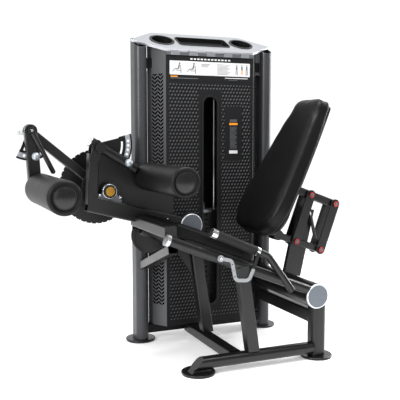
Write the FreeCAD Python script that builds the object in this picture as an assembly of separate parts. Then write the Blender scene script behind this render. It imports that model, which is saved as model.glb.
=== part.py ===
import FreeCAD, Part
import os
from math import acos, atan2, cos, degrees, hypot, radians, sin, tan

# Selectorised leg extension and seated leg curl machine, in millimetres.
# Working frame: x = 0 and y = 0 at the middle of the weight tower, z = 0 on the floor.
# +X runs from the user's feet to the user's back, -Y is the open side that the user
# climbs on from, and +Z is up. Every piece is moved at the end so that the origin is
# the bottom centre of the whole machine's bounding box.

os.makedirs("parts", exist_ok=True)
V = FreeCAD.Vector
ALONG_Y = V(0, 1, 0)

# ---- driving dimensions ---------------------------------------------------------------
# clearances
GAP = 0.5               # between pieces that pass each other without a fit
MOVE_GAP = 2.0          # between pieces that swing past each other
RUN_FIT = 0.05          # radial clearance of a running fit
SHEET = 3.0             # shroud sheet thickness
TUBE_WALL = 3.0

# weight tower
POST_X = 351.0          # half the distance between the post centres
POST_WIDE = 64.0
POST_DEEP = 114.0
TOP_Z = 1525.0          # top plate's upper face at y = 0
TOP_TILT = 27.0         # the top plate rises towards the back
TOP_HALF = 390.0
TOP_FRONT_HALF = 240.0
TOP_BACK_HALF = 250.0
TOP_FRONT = 100.0       # front edge of the top plate, in plan
TOP_BACK = 105.0
TOP_T = 12.0
PANEL_HALF = 242.0      # front shroud panel
BACK_PANEL_HALF = 258.0
PANEL_Y = 97.0          # outer faces of the front and back panels
PANEL_Z0 = 80.0
CORNER_X = 306.0        # outer edges of the angled corner panels, at y = 0
BEAM_SQ = 50.0          # tower cross beams
BRIDGE_Z = 1246.0       # underside of the bar that holds the guide rods
BRIDGE_T = 10.0
LOW_BEAM_Z = 60.0
HIGH_BEAM_Z = 1410.0

# slot window in the front panel
SLOT_X = -3.0
SLOT_W = 76.0
SLOT_Z0 = 178.0
SLOT_Z1 = 1245.0
BEZEL_W = 11.0
BEZEL_PROUD = 5.0

# top plate fittings
CUP_X = 222.0
CUP_D = 108.0           # inside of a cup holder
CUP_RIM_D = 130.0
CUP_DEEP = 58.0
TRAY_W = 274.0
TRAY_D = 100.0
TRAY_DEEP = 22.0
LINER_T = 2.5

# weight stack
PLATE_COUNT = 20
LIFTED_COUNT = 5
PLATE_PITCH = 25.0
PLATE_GAP = 0.6
PLATE_W = 230.0
PLATE_D = 90.0
STACK_Z = 150.0
ROD_X = 62.5
ROD_D = 19.0
STEM_D = 22.0
PIN_D = 8.0
PIN_KNOB_D = 24.0

# cable and pulleys
CABLE_D = 6.0
PULLEY_PITCH_R = 55.0   # cable centre line on the two top pulleys
GUIDE_PITCH_R = 76.0    # cable centre line on the guide pulley
DRUM_PITCH_R = 115.0    # cable centre line on the lever drum
PULLEY_W = 20.0
FLANGE = 5.0            # pulley flange beyond the cable centre line
AXLE_D = 12.0
TOP_PULLEY_Z = 1320.0
TOP_PULLEY_STEP = 130.0
GUIDE_X = -328.0
GUIDE_Z = 552.0
CABLE_Y = -71.0         # plane of the drum and the guide pulley
COVER_T = 2.5
GUARD_T = 2.5           # guard plate behind the pivot beam

# base frame
FOOT_D = 152.0
PAD_H = 5.0
DISC_H = 7.0
NEAR_Y = -600.0         # outer side frame: base bar, outer leg, outer rail, near post
NEAR_FOOT_X = -278.0
NEAR_POST_X = 334.0
NEAR_POST_WIDE = 76.0
BASE_BAR_W = 62.0
BASE_BAR_H = 50.0
BASE_BAR_Z = 50.0
SPINE_X = -90.0
SPINE_W = 57.0
POST_TIE_Z = 190.0
REAR_TUBE_D = 116.0
REAR_TUBE_X = 319.0
REAR_TUBE_Z = 298.0
REAR_TUBE_Y0 = -612.0
TUBE_CAP_T = 8.0

# seat frame
RAIL_D = 45.0
RAIL_X0 = -420.0        # front end of the rails
RAIL_Z0 = 604.0
SEAT_TILT = 21.5
INNER_RAIL_Y = -225.0
LEG_W = 57.0
LEG_D = 50.0
FRONT_TUBE_X = -405.0
FRONT_TUBE_Z = 637.0
FRONT_TUBE_SQ = 54.0
FRONT_TUBE_Y0 = -580.0   # its near end, closed with a plate
BOARD_T = 8.0
SEAT_T = 57.0
SEAT_W = 380.0
SEAT_Y = -375.0
SEAT_X0 = -400.0        # front and back ends of the cushion, measured at its underside
SEAT_X1 = 30.0

# hand grip
GRIP_D = 40.0
GRIP_TUBE_D = 33.0
GRIP_X0 = -212.0
GRIP_Z0 = 625.0
GRIP_X1 = 12.0
GRIP_Z1 = 528.0
GRIP_DROP_X = 174.0     # lower end of the grip tube, welded on the side of the outer rail
GRIP_DROP_Z = 340.0
GRIP_OUT = 26.0         # how far its lower end stands out from the rail's centre line

# pivot beam and lever
BEAM_Y = -135.0
BEAM_W = 60.0
BEAM_H = 76.0
BEAM_SLOPE = 14.7
BEAM_MID_X = -500.0
BEAM_MID_Z = 691.0
BEAM_X0 = -655.0
STUB_X = -137.0
STUB_Z = 605.0
STUB_D = 112.0
PIVOT_X = -549.0
PIVOT_Z = 785.0
SHAFT_D = 30.0
LEVER_Y0 = -10.0        # lever arm tube, between these planes
LEVER_W = 50.0
LEVER_H = 44.0
JOINT_X = -897.0        # outer joint of the lever arm
JOINT_Z = 1073.0
HUB_D = 58.0
DISC_R = 187.0
DISC_Y0 = 62.0
DISC_T = 10.0
REAR_BEAM_Y = 110.0
REAR_BEAM_W = 40.0

# ankle and thigh rollers
ANKLE_X = -862.0
ANKLE_Z = 803.0
ANKLE_ARM_Y = -42.0
ANKLE_ARM_W = 50.0
ANKLE_ARM_H = 58.0
ANKLE_BAR_SHIFT = 18.0   # the bar's lower end lies in front of the roller's centre
ANKLE_STEP_DEG = 10.0   # between two index holes of the ankle arm
ROLLER_D = 147.0
THIGH_ROLLER_D = 140.0
ROLLER_Y0 = -617.0
ANKLE_ROLLER_Y1 = -72.0
THIGH_ROLLER_Y1 = -116.0
ROLLER_CAP_D = 96.0
ROLLER_AXLE_D = 24.0
INDEX_T = 4.0           # plates with the index holes
PIN_BALL_D = 38.0       # pull knobs of the two index pins
HANDLE_D = 23.0         # release handle of the ankle arm
THIGH_X = -345.0
THIGH_Z = 850.0
THIGH_PIVOT_X = -612.0
THIGH_PIVOT_Z = 1009.0
THIGH_ARM_D = 46.0
THIGH_SECTOR_R = 172.0
BRACKET_W = 48.0

# backrest
BACK_Y = -345.0
PIN_3_X = 346.0         # lower pivot of the front link
PIN_3_Z = 523.0
LINK_DX = 84.0          # from a lower pivot to the upper pivot of the same link
LINK_DZ = 230.0
TUBE_DX = 144.0         # from the front link's pivots to the rear link's pivots
TUBE_DZ = -52.0
LINK_W = 48.0
LINK_T = 8.0
BACK_TUBE_SQ = 40.0
LINK_PIN_D = 12.0
COLUMN_W = 100.0
COLUMN_D = 24.0
COLUMN_SET_IN = 10.0    # how far the column lies inside the tubes' far faces
COLUMN_LEAN = 13.0
COLUMN_TOP_Z = 682.0
PAD_LEAN = 28.7
PAD_X0 = 70.0           # bottom of the pad's front face
PAD_Z0 = 597.0
PAD_LENGTH = 742.0
PAD_T = 74.0
PAD_WIDE = 420.0        # widest, near the bottom
PAD_TOP_W = 255.0
PAD_BOTTOM_W = 300.0
PAD_WIDE_AT = 150.0
BACK_BOARD_T = 10.0

nodes = {}


def add(name, *solids):
    nodes.setdefault(name, []).extend(solids)


# ---- shape helpers --------------------------------------------------------------------
def box(x0, x1, y0, y1, z0, z1):
    return Part.makeBox(x1 - x0, y1 - y0, z1 - z0, V(x0, y0, z0))


def rod(start, end, diameter):
    return Part.makeCylinder(diameter / 2, (end - start).Length, start, end - start)


def disc(x, z, y0, y1, diameter):
    """A cylinder along Y."""
    return Part.makeCylinder(diameter / 2, y1 - y0, V(x, y0, z), ALONG_Y)


def ring(x, z, y0, y1, outer, inner):
    return disc(x, z, y0, y1, outer).cut(disc(x, z, y0 - 1, y1 + 1, inner))


def biggest(shape):
    """The main piece of a cut, without the scraps that the cutter left."""
    return max(shape.Solids, key=lambda solid: solid.Volume)


def round_edges(solid, direction, radius):
    """Fillet every straight edge that runs along the given direction."""
    chosen = []
    for edge in solid.Edges:
        if not isinstance(edge.Curve, Part.Line):
            continue
        if abs(abs(edge.Curve.Direction.dot(direction)) - 1) < 1e-6:
            chosen.append(edge)
    return solid.makeFillet(radius, chosen)


def bar_blank(length, wide, high, corner):
    blank = Part.makeBox(length, wide, high, V(0, -wide / 2, -high / 2))
    return round_edges(blank, V(1, 0, 0), corner)


def bar(start, end, wide, high, corner=7.0, wall=0.0, side=ALONG_Y):
    """A rectangular bar or tube from start to end. wide is measured along side."""
    along = end - start
    solid = bar_blank(along.Length, wide, high, corner)
    if wall:
        inner = bar_blank(along.Length + 2, wide - 2 * wall, high - 2 * wall, corner - wall)
        inner.translate(V(-1, 0, 0))
        solid = solid.cut(inner)
    turn = FreeCAD.Rotation(along, side, V(0, 0, 0), "XYZ")
    solid.Placement = FreeCAD.Placement(start, turn)
    return solid


def plate(outline, y0, y1):
    """A flat plate from an outline of (x, z) points, between two planes across Y."""
    points = [V(x, y0, z) for x, z in outline]
    face = Part.Face(Part.makePolygon(points + points[:1]))
    return face.extrude(V(0, y1 - y0, 0))


def flat_strip(x0, z0, x1, z1, wide, y0, y1):
    """A link plate with round ends between two points of a plane across Y."""
    along = V(x1 - x0, 0, z1 - z0)
    across = V(-along.z, 0, along.x).normalize() * (wide / 2)
    corners = [(x0 + across.x, z0 + across.z), (x1 + across.x, z1 + across.z),
               (x1 - across.x, z1 - across.z), (x0 - across.x, z0 - across.z)]
    body = plate(corners, y0, y1)
    ends = [disc(x0, z0, y0, y1, wide), disc(x1, z1, y0, y1, wide)]
    return body.multiFuse(ends).removeSplitter()


def sector(x, z, y0, y1, r_in, r_out, deg0, deg1):
    """Part of a flat ring, between two angles that count from +X towards +Z."""
    outer = Part.makeCylinder(r_out, y1 - y0, V(x, y1, z), V(0, -1, 0), deg1 - deg0)
    inner = Part.makeCylinder(r_in, y1 - y0 + 2, V(x, y1 + 1, z), V(0, -1, 0))
    turned = outer.cut(inner)
    reference = Part.makeCylinder(1, 1, V(0, 0, 0), V(0, -1, 0), 90).CenterOfMass
    start = degrees(atan2(reference.z, reference.x)) - 45
    turned.rotate(V(x, 0, z), V(0, -1, 0), deg0 - start)
    return turned


def polar(x, z, radius, angle):
    return x + radius * cos(radians(angle)), z + radius * sin(radians(angle))


def xz(x, z, y):
    return V(x, y, z)


def top_frame(x, y, down=0.0):
    """A placement on the tilted top plate: local Z is the plate's normal."""
    turn = FreeCAD.Rotation(V(1, 0, 0), TOP_TILT)
    base = V(x, y, TOP_Z + y * tan(radians(TOP_TILT)))
    return FreeCAD.Placement(base + turn.multVec(V(0, 0, -down)), turn)


def above_top(down):
    """Everything above a plane that lies the given distance under the top face."""
    cutter = Part.makeBox(1600, 1600, 800, V(-800, -800, 0))
    cutter.Placement = top_frame(0, 0, down)
    return cutter


def build_tower():
    post_z0 = PAD_H + DISC_H
    under_plate = above_top(TOP_T + GAP)
    posts = []
    for side in (-1, 1):
        x = side * POST_X
        post = bar(V(x, 0, post_z0), V(x, 0, TOP_Z + 60), POST_DEEP, POST_WIDE,
                   POST_WIDE / 2 - 0.5, TUBE_WALL)
        posts.append(post.cut(under_plate))
    add("tower_frame", *posts)
    add("tower_frame", *cross_beams(TUBE_WALL))


def cross_beams(wall):
    reach = POST_X - POST_WIDE / 2
    return [bar(V(-reach, 0, z), V(reach, 0, z), BEAM_SQ, BEAM_SQ, 6, wall)
            for z in (LOW_BEAM_Z, HIGH_BEAM_Z)]


def plan_strip(x0, y0, x1, y1, z0, z1):
    """An upright sheet whose outer face runs from one plan point to the other."""
    along = V(x1 - x0, y1 - y0, 0)
    inward = V(-along.y, along.x, 0).normalize() * SHEET
    corners = [V(x0, y0, z0), V(x1, y1, z0), V(x1, y1, z0) + inward, V(x0, y0, z0) + inward]
    return Part.Face(Part.makePolygon(corners + corners[:1])).extrude(V(0, 0, z1 - z0))


def build_shrouds():
    under_plate = above_top(TOP_T + GAP)
    high = TOP_Z + 100
    front = box(-PANEL_HALF, PANEL_HALF, -PANEL_Y, -PANEL_Y + SHEET, PANEL_Z0, high)
    radius = SLOT_W / 2
    slot = slot_shape(radius, -PANEL_Y - 20, -PANEL_Y + 20)
    add("front_shroud", front.cut(slot).cut(under_plate))
    reach = PANEL_HALF + GAP
    left = plan_strip(-CORNER_X, 0, -reach, -PANEL_Y, PANEL_Z0, high)
    right = plan_strip(reach, -PANEL_Y, CORNER_X, 0, PANEL_Z0, high)
    cover_r = GUIDE_PITCH_R + FLANGE + MOVE_GAP + COVER_T + 6
    notch = disc(GUIDE_X, GUIDE_Z, -PANEL_Y + 1, -POST_DEEP / 2 + 12, 2 * cover_r)
    cutters = cross_beams(0) + [front, under_plate]
    left = left.cut(notch.fuse(cable_notch())).cut(cutters)
    right = right.cut(cutters).cut(disc(REAR_TUBE_X, REAR_TUBE_Z, -PANEL_Y - 40, 0, REAR_TUBE_D + 1))
    add("corner_panels", biggest(left), biggest(right))
    back = box(-BACK_PANEL_HALF, BACK_PANEL_HALF, PANEL_Y - SHEET, PANEL_Y, PANEL_Z0, high)
    wing_l = plan_strip(-BACK_PANEL_HALF, PANEL_Y, -CORNER_X, GAP, PANEL_Z0, high)
    wing_r = plan_strip(CORNER_X, GAP, BACK_PANEL_HALF, PANEL_Y, PANEL_Z0, high)
    shell = back.multiFuse([wing_l, wing_r]).removeSplitter()
    add("rear_shroud", biggest(shell.cut(cutters + [left, right])))
    outer = slot_shape(radius + BEZEL_W, -PANEL_Y - BEZEL_PROUD, -PANEL_Y - 0.01)
    inner = slot_shape(radius, -PANEL_Y - 20, -PANEL_Y + 20)
    add("slot_bezel", outer.cut(inner))


def cable_notch():
    """Room for the cable where it passes inside the left corner panel."""
    x = GUIDE_X + GUIDE_PITCH_R
    return box(x - 9, x + 9, CABLE_Y - 9, CABLE_Y + 9, GUIDE_Z, GUIDE_Z + 150)


def slot_shape(radius, y0, y1):
    z0 = SLOT_Z0 + SLOT_W / 2
    z1 = SLOT_Z1 - SLOT_W / 2
    middle = box(SLOT_X - radius, SLOT_X + radius, y0, y1, z0, z1)
    ends = [disc(SLOT_X, z0, y0, y1, 2 * radius), disc(SLOT_X, z1, y0, y1, 2 * radius)]
    return middle.multiFuse(ends).removeSplitter()


def build_top():
    rise = cos(radians(TOP_TILT))
    corners = [(-TOP_HALF, 0), (-TOP_FRONT_HALF, -TOP_FRONT), (TOP_FRONT_HALF, -TOP_FRONT),
               (TOP_HALF, 0), (TOP_BACK_HALF, TOP_BACK), (-TOP_BACK_HALF, TOP_BACK)]
    points = [V(x, y / rise, -TOP_T) for x, y in corners]
    top = Part.Face(Part.makePolygon(points + points[:1])).extrude(V(0, 0, TOP_T))
    cup_y = 10 / rise
    rim_t = 3.0
    liners = []
    for side in (-1, 1):
        hole_r = CUP_D / 2 + LINER_T + GAP
        top = top.cut(Part.makeCylinder(hole_r, TOP_T + 2, V(side * CUP_X, cup_y, -TOP_T - 1)))
        base = V(side * CUP_X, cup_y, -CUP_DEEP)
        cup = Part.makeCylinder(CUP_D / 2 + LINER_T, CUP_DEEP, base)
        rim = Part.makeCylinder(CUP_RIM_D / 2, rim_t, V(side * CUP_X, cup_y, 0.01))
        hollow = Part.makeCylinder(CUP_D / 2, CUP_DEEP + 5, base + V(0, 0, LINER_T))
        liners.append(cup.fuse(rim).cut(hollow).removeSplitter())
    tray_y = 8 / rise
    corner = 16.0

    def tray_block(grow, z0, z1):
        wide = TRAY_W + 2 * grow
        deep = TRAY_D + 2 * grow
        block = Part.makeBox(wide, deep, z1 - z0, V(-wide / 2, tray_y - deep / 2, z0))
        return round_edges(block, V(0, 0, 1), corner + grow)

    top = top.cut(tray_block(LINER_T + GAP, -TOP_T - 1, 1))
    tray = tray_block(LINER_T, -TRAY_DEEP, 0.02).fuse(tray_block(6, 0.01, rim_t))
    tray = tray.cut(tray_block(0, -TRAY_DEEP + LINER_T, rim_t + 1)).removeSplitter()
    placement = top_frame(0, 0)
    for piece in [top, tray] + liners:
        piece.Placement = placement
    lip_z1 = TOP_Z - TOP_FRONT * tan(radians(TOP_TILT)) - TOP_T / rise
    lip_h = 14.0
    lip = box(-TOP_FRONT_HALF, TOP_FRONT_HALF, -TOP_FRONT, -PANEL_Y - 0.01,
              lip_z1 - lip_h, lip_z1 - 0.01)
    tooth_w = 46.0
    tooth_count = 5
    step = 2 * TOP_FRONT_HALF / tooth_count
    teeth = []
    for index in range(tooth_count):
        x = -TOP_FRONT_HALF + (index + 0.5) * step
        teeth.append(box(x - tooth_w / 2, x + tooth_w / 2, -TOP_FRONT - 3, -TOP_FRONT - 0.01,
                         lip_z1 - lip_h, lip_z1 + 6))
    add("top_plate", top)
    add("top_plate", lip, *teeth)
    add("top_liners", *liners)
    add("top_liners", tray)


def build_labels():
    y1 = -PANEL_Y - 0.01
    add("panel_labels", box(-225, 225, y1 - 2, y1, 1325, 1440))
    add("panel_labels", box(103, 155, y1 - 1.2, y1, 955, 1135))


def stack_plate(index):
    z0 = STACK_Z + index * PLATE_PITCH
    z1 = z0 + PLATE_PITCH - PLATE_GAP
    solid = box(-PLATE_W / 2, PLATE_W / 2, -PLATE_D / 2, PLATE_D / 2, z0, z1)
    solid = round_edges(solid, V(0, 0, 1), 8)
    for side in (-1, 1):
        solid = solid.cut(rod(V(side * ROD_X, 0, z0 - 1), V(side * ROD_X, 0, z1 + 1), ROD_D + 2))
    solid = solid.cut(rod(V(0, 0, z0 - 1), V(0, 0, z1 + 1), STEM_D + 2))
    middle = (z0 + z1) / 2
    return solid.cut(rod(V(0, -PLATE_D, middle), V(0, PLATE_D / 4, middle), PIN_D + 2))


def build_stack():
    resting = PLATE_COUNT - LIFTED_COUNT
    add("resting_plates", *[stack_plate(index) for index in range(resting)])
    add("lifted_plates", *[stack_plate(index) for index in range(resting, PLATE_COUNT)])
    top = STACK_Z + PLATE_COUNT * PLATE_PITCH
    head_t = 14.0
    head = box(-PLATE_W / 2, PLATE_W / 2, -PLATE_D / 2, PLATE_D / 2, top, top + head_t)
    head = round_edges(head, V(0, 0, 1), 8)
    for side in (-1, 1):
        head = head.cut(rod(V(side * ROD_X, 0, top - 1), V(side * ROD_X, 0, top + 20), ROD_D + 2))
    stem = rod(V(0, 0, STACK_Z + 15), V(0, 0, top + head_t + 36), STEM_D)
    for index in range(PLATE_COUNT):
        z = STACK_Z + index * PLATE_PITCH + (PLATE_PITCH - PLATE_GAP) / 2
        stem = stem.cut(rod(V(0, -STEM_D, z), V(0, STEM_D, z), PIN_D + 2))
    add("selector_stem", head.fuse(stem).removeSplitter())
    low = LOW_BEAM_Z + BEAM_SQ / 2
    for side in (-1, 1):
        add("guide_rods", rod(V(side * ROD_X, 0, low), V(side * ROD_X, 0, BRIDGE_Z), ROD_D))
        bumper = rod(V(side * ROD_X, 0, low), V(side * ROD_X, 0, STACK_Z - PLATE_GAP), 54)
        bore = rod(V(side * ROD_X, 0, low - 1), V(side * ROD_X, 0, STACK_Z), ROD_D + 2 * GAP)
        add("stack_bumpers", bumper.cut(bore))
    pin_z = STACK_Z + resting * PLATE_PITCH + (PLATE_PITCH - PLATE_GAP) / 2
    face = -PLATE_D / 2
    shaft = rod(V(0, face - 8, pin_z), V(0, PLATE_D / 4 - 6, pin_z), PIN_D)
    knob = rod(V(0, face - 32, pin_z), V(0, face - 7, pin_z), PIN_KNOB_D)
    knob = knob.makeFillet(4, knob.Edges[:1])
    add("selector_pin", shaft.fuse(knob).removeSplitter())


def pulley(x, z, y, pitch_r, bore):
    solid = disc(x, z, y - PULLEY_W / 2, y + PULLEY_W / 2, 2 * (pitch_r + FLANGE))
    groove_w = CABLE_D + 6
    groove = ring(x, z, y - groove_w / 2, y + groove_w / 2, 2 * (pitch_r + FLANGE + 2),
                  2 * (pitch_r - CABLE_D / 2 - GAP))
    return solid.cut(groove).cut(disc(x, z, y - PULLEY_W, y + PULLEY_W, bore))


def arc_pipe(x, z, y, radius, deg0, deg1):
    """A stretch of cable that lies round a pulley."""
    turn = Part.makeTorus(radius, CABLE_D / 2, V(0, 0, 0), V(0, -1, 0), -180, 180, deg1 - deg0)
    reference = Part.makeTorus(radius, CABLE_D / 2, V(0, 0, 0), V(0, -1, 0), -180, 180, 90)
    centre = reference.CenterOfMass
    start = degrees(atan2(centre.z, centre.x)) - 45
    turn.rotate(V(0, 0, 0), V(0, -1, 0), deg0 - start)
    turn.translate(V(x, y, z))
    return turn


def build_cable():
    centre_x = -PULLEY_PITCH_R
    left_x = centre_x - TOP_PULLEY_STEP
    bore = AXLE_D + 2 * RUN_FIT
    add("centre_pulley", pulley(centre_x, TOP_PULLEY_Z, 0, PULLEY_PITCH_R, bore))
    add("side_pulley", pulley(left_x, TOP_PULLEY_Z, 0, PULLEY_PITCH_R, bore))
    add("guide_pulley", pulley(GUIDE_X, GUIDE_Z, CABLE_Y, GUIDE_PITCH_R, bore))
    cheek_t = 5.0
    cheek_y = PULLEY_W / 2 + MOVE_GAP
    beam_under = HIGH_BEAM_Z - BEAM_SQ / 2
    # the guide rods end under a bridge that hangs from the centre pulley's cheeks
    half = ROD_X + 26
    bridge = box(-half, half, -25, 25, BRIDGE_Z, BRIDGE_Z + BRIDGE_T)
    bridge = bridge.cut(rod(V(0, 0, BRIDGE_Z - 1), V(0, 0, BRIDGE_Z + 20), CABLE_D + 10))
    add("tower_frame", bridge, box(half - 6, half, -20, 20, BRIDGE_Z + BRIDGE_T, beam_under))
    for x in (centre_x, left_x):
        for side in (-1, 1):
            y0 = min(side * cheek_y, side * (cheek_y + cheek_t))
            foot = BRIDGE_Z + BRIDGE_T if x == centre_x else TOP_PULLEY_Z - 20
            cheek = box(x - 20, x + 20, y0, y0 + cheek_t, foot, beam_under)
            add("tower_frame", cheek.cut(disc(x, TOP_PULLEY_Z, y0 - 1, y0 + 9, AXLE_D + 1)))
        reach = cheek_y + cheek_t + 5
        add("tower_frame", disc(x, TOP_PULLEY_Z, -reach, reach, AXLE_D))
    cover_r = GUIDE_PITCH_R + FLANGE + 7
    near = CABLE_Y - PULLEY_W / 2 - MOVE_GAP
    far = -POST_DEEP / 2 - 0.1
    front = disc(GUIDE_X, GUIDE_Z, near - COVER_T, near, 2 * cover_r)
    back = disc(GUIDE_X, GUIDE_Z, far - COVER_T, far, 2 * cover_r)
    hole = disc(GUIDE_X, GUIDE_Z, near - 9, far + 9, AXLE_D)
    axle = disc(GUIDE_X, GUIDE_Z, near - COVER_T - 6, far, AXLE_D)
    add("pulley_cover", front.cut(hole), back.cut(hole), axle)
    # from the drum to the guide pulley the cable follows the inner tangent
    dx = GUIDE_X - PIVOT_X
    dz = GUIDE_Z - PIVOT_Z
    lead = degrees(atan2(dz, dx) + acos((DRUM_PITCH_R + GUIDE_PITCH_R) / hypot(dx, dz)))
    drum_x, drum_z = polar(PIVOT_X, PIVOT_Z, DRUM_PITCH_R, lead)
    guide_x, guide_z = polar(GUIDE_X, GUIDE_Z, GUIDE_PITCH_R, lead + 180)
    wrap = 70.0             # how far the cable lies round the drum
    run_x = GUIDE_X + GUIDE_PITCH_R
    side_x = left_x - PULLEY_PITCH_R
    pieces = [
        arc_pipe(PIVOT_X, PIVOT_Z, CABLE_Y, DRUM_PITCH_R, lead, lead + wrap),
        rod(xz(drum_x, drum_z, CABLE_Y), xz(guide_x, guide_z, CABLE_Y), CABLE_D),
        arc_pipe(GUIDE_X, GUIDE_Z, CABLE_Y, GUIDE_PITCH_R, lead + 180, 360),
        rod(V(run_x, CABLE_Y, GUIDE_Z), V(side_x, 0, TOP_PULLEY_Z), CABLE_D),
        arc_pipe(left_x, TOP_PULLEY_Z, 0, PULLEY_PITCH_R, 90, 180),
        rod(V(left_x, 0, TOP_PULLEY_Z + PULLEY_PITCH_R),
            V(centre_x, 0, TOP_PULLEY_Z + PULLEY_PITCH_R), CABLE_D),
        arc_pipe(centre_x, TOP_PULLEY_Z, 0, PULLEY_PITCH_R, 0, 90),
    ]
    add("lift_cable", *pieces)
    stem_top = STACK_Z + PLATE_COUNT * PLATE_PITCH + 50
    add("lift_cable_drop", rod(V(0, 0, stem_top), V(0, 0, TOP_PULLEY_Z), CABLE_D))


def build_feet():
    spots = [(-POST_X, 0), (POST_X, 0), (NEAR_FOOT_X, NEAR_Y + 14), (NEAR_POST_X, NEAR_Y + 14)]
    for x, y in spots:
        add("foot_pads", rod(V(x, y, 0), V(x, y, PAD_H), FOOT_D - 6))
        dished = rod(V(x, y, PAD_H), V(x, y, PAD_H + DISC_H), FOOT_D)
        top_edge = [edge for edge in dished.Edges if edge.CenterOfMass.z > PAD_H + DISC_H - 0.1
                    and isinstance(edge.Curve, Part.Circle)]
        add("foot_discs", dished.makeFillet(3, top_edge))


def build_base():
    floor_z = PAD_H + DISC_H
    start_x = NEAR_FOOT_X - 42
    end_x = NEAR_POST_X - NEAR_POST_WIDE / 2
    corner = 20.0
    base_bar = bar(V(start_x, NEAR_Y, BASE_BAR_Z), V(end_x, NEAR_Y, BASE_BAR_Z),
                   BASE_BAR_W, BASE_BAR_H, corner, TUBE_WALL)
    mitre = 45.0
    end_cutter = Part.makeBox(200, 200, 200, V(-200, -100, -100))
    end_cutter.rotate(V(0, 0, 0), ALONG_Y, mitre)
    end_cutter.translate(V(start_x + 36, NEAR_Y, BASE_BAR_Z))
    base_bar = base_bar.cut(end_cutter)
    cap = bar(V(start_x - 60, NEAR_Y, BASE_BAR_Z), V(start_x + 100, NEAR_Y, BASE_BAR_Z),
              BASE_BAR_W, BASE_BAR_H, corner)
    slab = Part.makeBox(5, 200, 200, V(-5, -100, -100))
    slab.rotate(V(0, 0, 0), ALONG_Y, mitre)
    slab.translate(V(start_x + 36, NEAR_Y, BASE_BAR_Z))
    bar_under = BASE_BAR_Z - BASE_BAR_H / 2
    toe_x = start_x + 36 - (BASE_BAR_Z - floor_z) - 3
    toe_out = [(toe_x, floor_z), (toe_x + bar_under - floor_z, bar_under),
               (NEAR_FOOT_X + 46, bar_under), (NEAR_FOOT_X + 46, floor_z)]
    toe = plate(toe_out, NEAR_Y - 24, NEAR_Y + 26)
    add("base_frame", base_bar, cap.common(slab), toe)
    spine_y0 = NEAR_Y + BASE_BAR_W / 2
    spine = bar(V(SPINE_X, spine_y0, BASE_BAR_Z), V(SPINE_X, -BEAM_SQ / 2, BASE_BAR_Z),
                SPINE_W, BASE_BAR_H, 8, TUBE_WALL, V(1, 0, 0))
    add("base_frame", spine)
    near_post = bar(V(NEAR_POST_X, NEAR_Y + 14, floor_z), V(NEAR_POST_X, NEAR_Y + 14, REAR_TUBE_Z),
                    72, NEAR_POST_WIDE, 27, TUBE_WALL)
    rear_solid = disc(REAR_TUBE_X, REAR_TUBE_Z, REAR_TUBE_Y0, -POST_DEEP / 2, REAR_TUBE_D)
    bore = disc(REAR_TUBE_X, REAR_TUBE_Z, REAR_TUBE_Y0 - 1, 0, REAR_TUBE_D - 8)
    add("base_frame", biggest(near_post.cut([rear_solid, rear_cap_room()])))
    add("base_frame", rear_solid.cut(bore))
    tie_y0 = NEAR_Y + 14 + 36
    add("base_frame", bar(V(NEAR_POST_X, tie_y0, POST_TIE_Z), V(NEAR_POST_X, -POST_DEEP / 2, POST_TIE_Z),
                          50, 64, 8, TUBE_WALL, V(1, 0, 0)))
    add("tube_end_caps", cap_disc(REAR_TUBE_X, REAR_TUBE_Z, REAR_TUBE_Y0, REAR_TUBE_D))


def rear_cap_room():
    """Clear space in front of the rear tube, where its end cap sits."""
    return disc(REAR_TUBE_X, REAR_TUBE_Z, REAR_TUBE_Y0 - 60, REAR_TUBE_Y0, REAR_TUBE_D + 3)


def cap_disc(x, z, y, diameter):
    solid = disc(x, z, y - TUBE_CAP_T, y - 0.01, diameter + 2)
    front = [edge for edge in solid.Edges if isinstance(edge.Curve, Part.Circle)
             and edge.CenterOfMass.y < y - TUBE_CAP_T + 0.1]
    return solid.makeFillet(2.5, front)


def seat_line(x, above=0.0):
    """Height of the seat plane at x, a distance above the rails' centre lines."""
    slope = tan(radians(SEAT_TILT))
    return RAIL_Z0 - (x - RAIL_X0) * slope + above / cos(radians(SEAT_TILT))


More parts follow.
